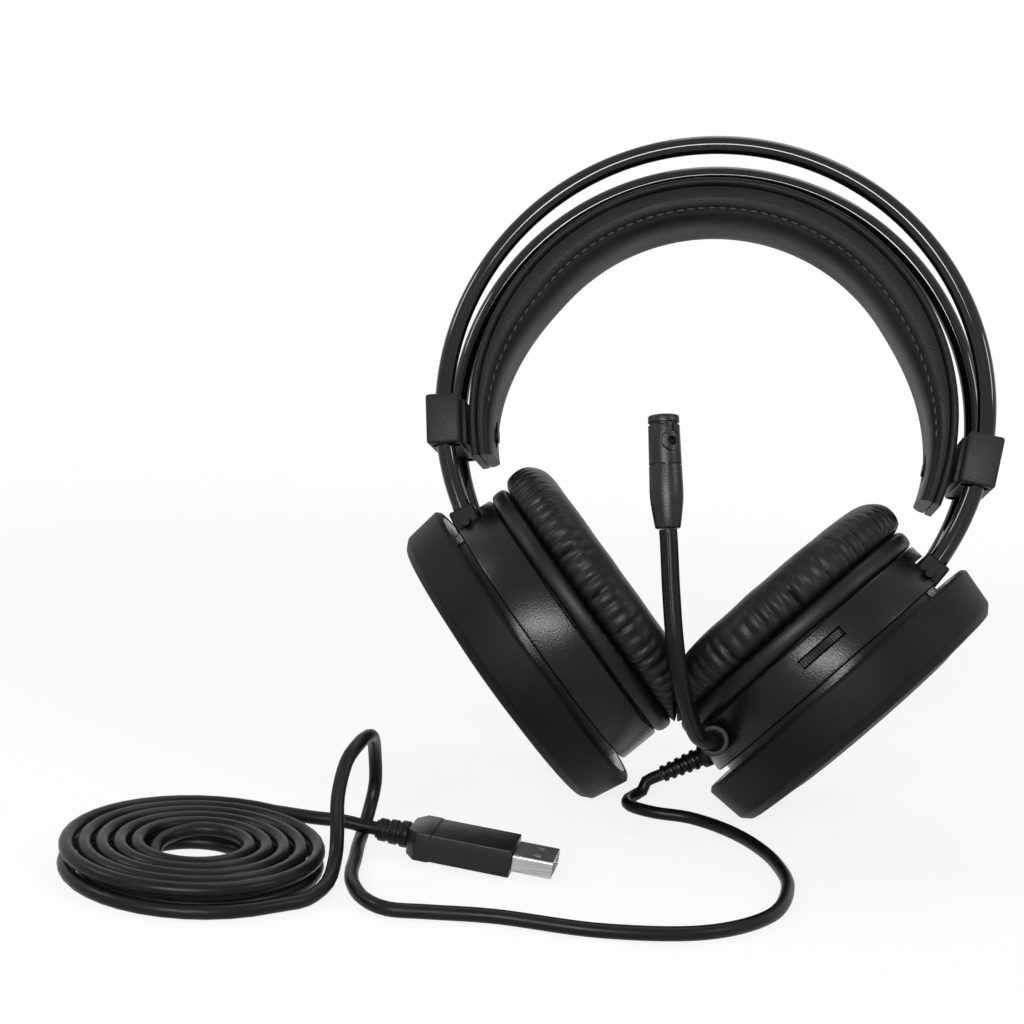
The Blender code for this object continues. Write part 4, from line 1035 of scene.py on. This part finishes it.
for finish, names in kept.items():
    for name in names:
        for word in ("left_", "right_"):
            paint(word + name, finish)
paint("volume_pot", "cup")
paint("usb_plug_shell", "steel")
paint("usb_plug_tongue", "insert")
print("solids painted")


# floor, light and background
room = {"floor": -170.45, "floorSize": 80, "near": 0.3, "far": 0.8, "glow": 0.84, "sky": 0.2,
        "aim": (0, -0.02, -0.07),
        "lamps": (((-0.03, -1.0, 0.20), (0.56, 0.16), 10.0),  # place, size, power
                  ((-1.0, -0.30, 0.55), (0.25, 0.25), 3.0),
                  ((1.0, -0.35, 0.50), (0.25, 0.25), 3.0),
                  ((0.1, 0.5, 1.1), (0.8, 0.8), 5.0))}


def seenAsBackground(tree):
    # camera, glossy and transmitted rays all see the plain white
    path = tree.nodes.new("ShaderNodeLightPath")
    first, both = tree.nodes.new("ShaderNodeMath"), tree.nodes.new("ShaderNodeMath")
    for step in (first, both):
        step.operation = "MAXIMUM"
    tree.links.new(path.outputs["Is Camera Ray"], first.inputs[0])
    tree.links.new(path.outputs["Is Glossy Ray"], first.inputs[1])
    tree.links.new(first.outputs[0], both.inputs[0])
    tree.links.new(path.outputs["Is Transmission Ray"], both.inputs[1])
    return both.outputs[0]


def makeFloor():
    bpy.ops.object.select_all(action="DESELECT")
    bpy.ops.mesh.primitive_plane_add(size=room["floorSize"], location=(0, 0, room["floor"] * mm))
    floor = bpy.context.active_object
    floor.name = "studioFloor"
    white = bpy.data.materials.new("studioWhite")
    white.use_nodes = True
    tree = white.node_tree
    shader = tree.nodes["Principled BSDF"]
    shader.inputs["Base Color"].default_value = (0.86, 0.86, 0.86, 1)
    shader.inputs["Roughness"].default_value = 0.9
    shader.inputs["Specular IOR Level"].default_value = 0.1
    glow = tree.nodes.new("ShaderNodeEmission")
    glow.inputs["Color"].default_value = (1, 1, 1, 1)
    mix = tree.nodes.new("ShaderNodeMixShader")
    share = tree.nodes.new("ShaderNodeMath")
    share.operation = "MULTIPLY"
    # shadows near the object, plain white further out
    spots = tree.nodes.new("ShaderNodeTexCoord")
    reach = tree.nodes.new("ShaderNodeVectorMath")
    reach.operation = "LENGTH"
    tree.links.new(spots.outputs["Object"], reach.inputs[0])
    fade = spread(tree, reach.outputs["Value"], room["glow"], 1.0, room["near"], room["far"])
    tree.links.new(fade, share.inputs[1])
    tree.links.new(seenAsBackground(tree), share.inputs[0])
    tree.links.new(share.outputs[0], mix.inputs["Fac"])
    tree.links.new(shader.outputs["BSDF"], mix.inputs[1])
    tree.links.new(glow.outputs["Emission"], mix.inputs[2])
    tree.links.new(mix.outputs["Shader"], tree.nodes["Material Output"].inputs["Surface"])
    floor.data.materials.append(white)


def setLights():
    for place, size, power in room["lamps"]:
        bpy.ops.object.light_add(type="AREA", location=place)
        lamp = bpy.context.active_object
        lamp.data.shape = "RECTANGLE"
        lamp.data.size, lamp.data.size_y = size
        lamp.data.energy = power
        lamp.rotation_mode = "QUATERNION"
        lamp.rotation_quaternion = (Vector(room["aim"]) - Vector(place)).to_track_quat("-Z", "Y")
    world = bpy.data.worlds.new("studioSky")
    bpy.context.scene.world = world
    world.use_nodes = True
    tree = world.node_tree
    sky = tree.nodes["Background"]
    sky.inputs["Color"].default_value = (1, 1, 1, 1)
    reach = tree.nodes.new("ShaderNodeMapRange")
    reach.inputs["To Min"].default_value = room["sky"]
    reach.inputs["To Max"].default_value = 1.0
    tree.links.new(seenAsBackground(tree), reach.inputs["Value"])
    tree.links.new(reach.outputs["Result"], sky.inputs["Strength"])
    bpy.context.scene.view_settings.view_transform = "Standard"


makeFloor()
setLights()
print("room lit")
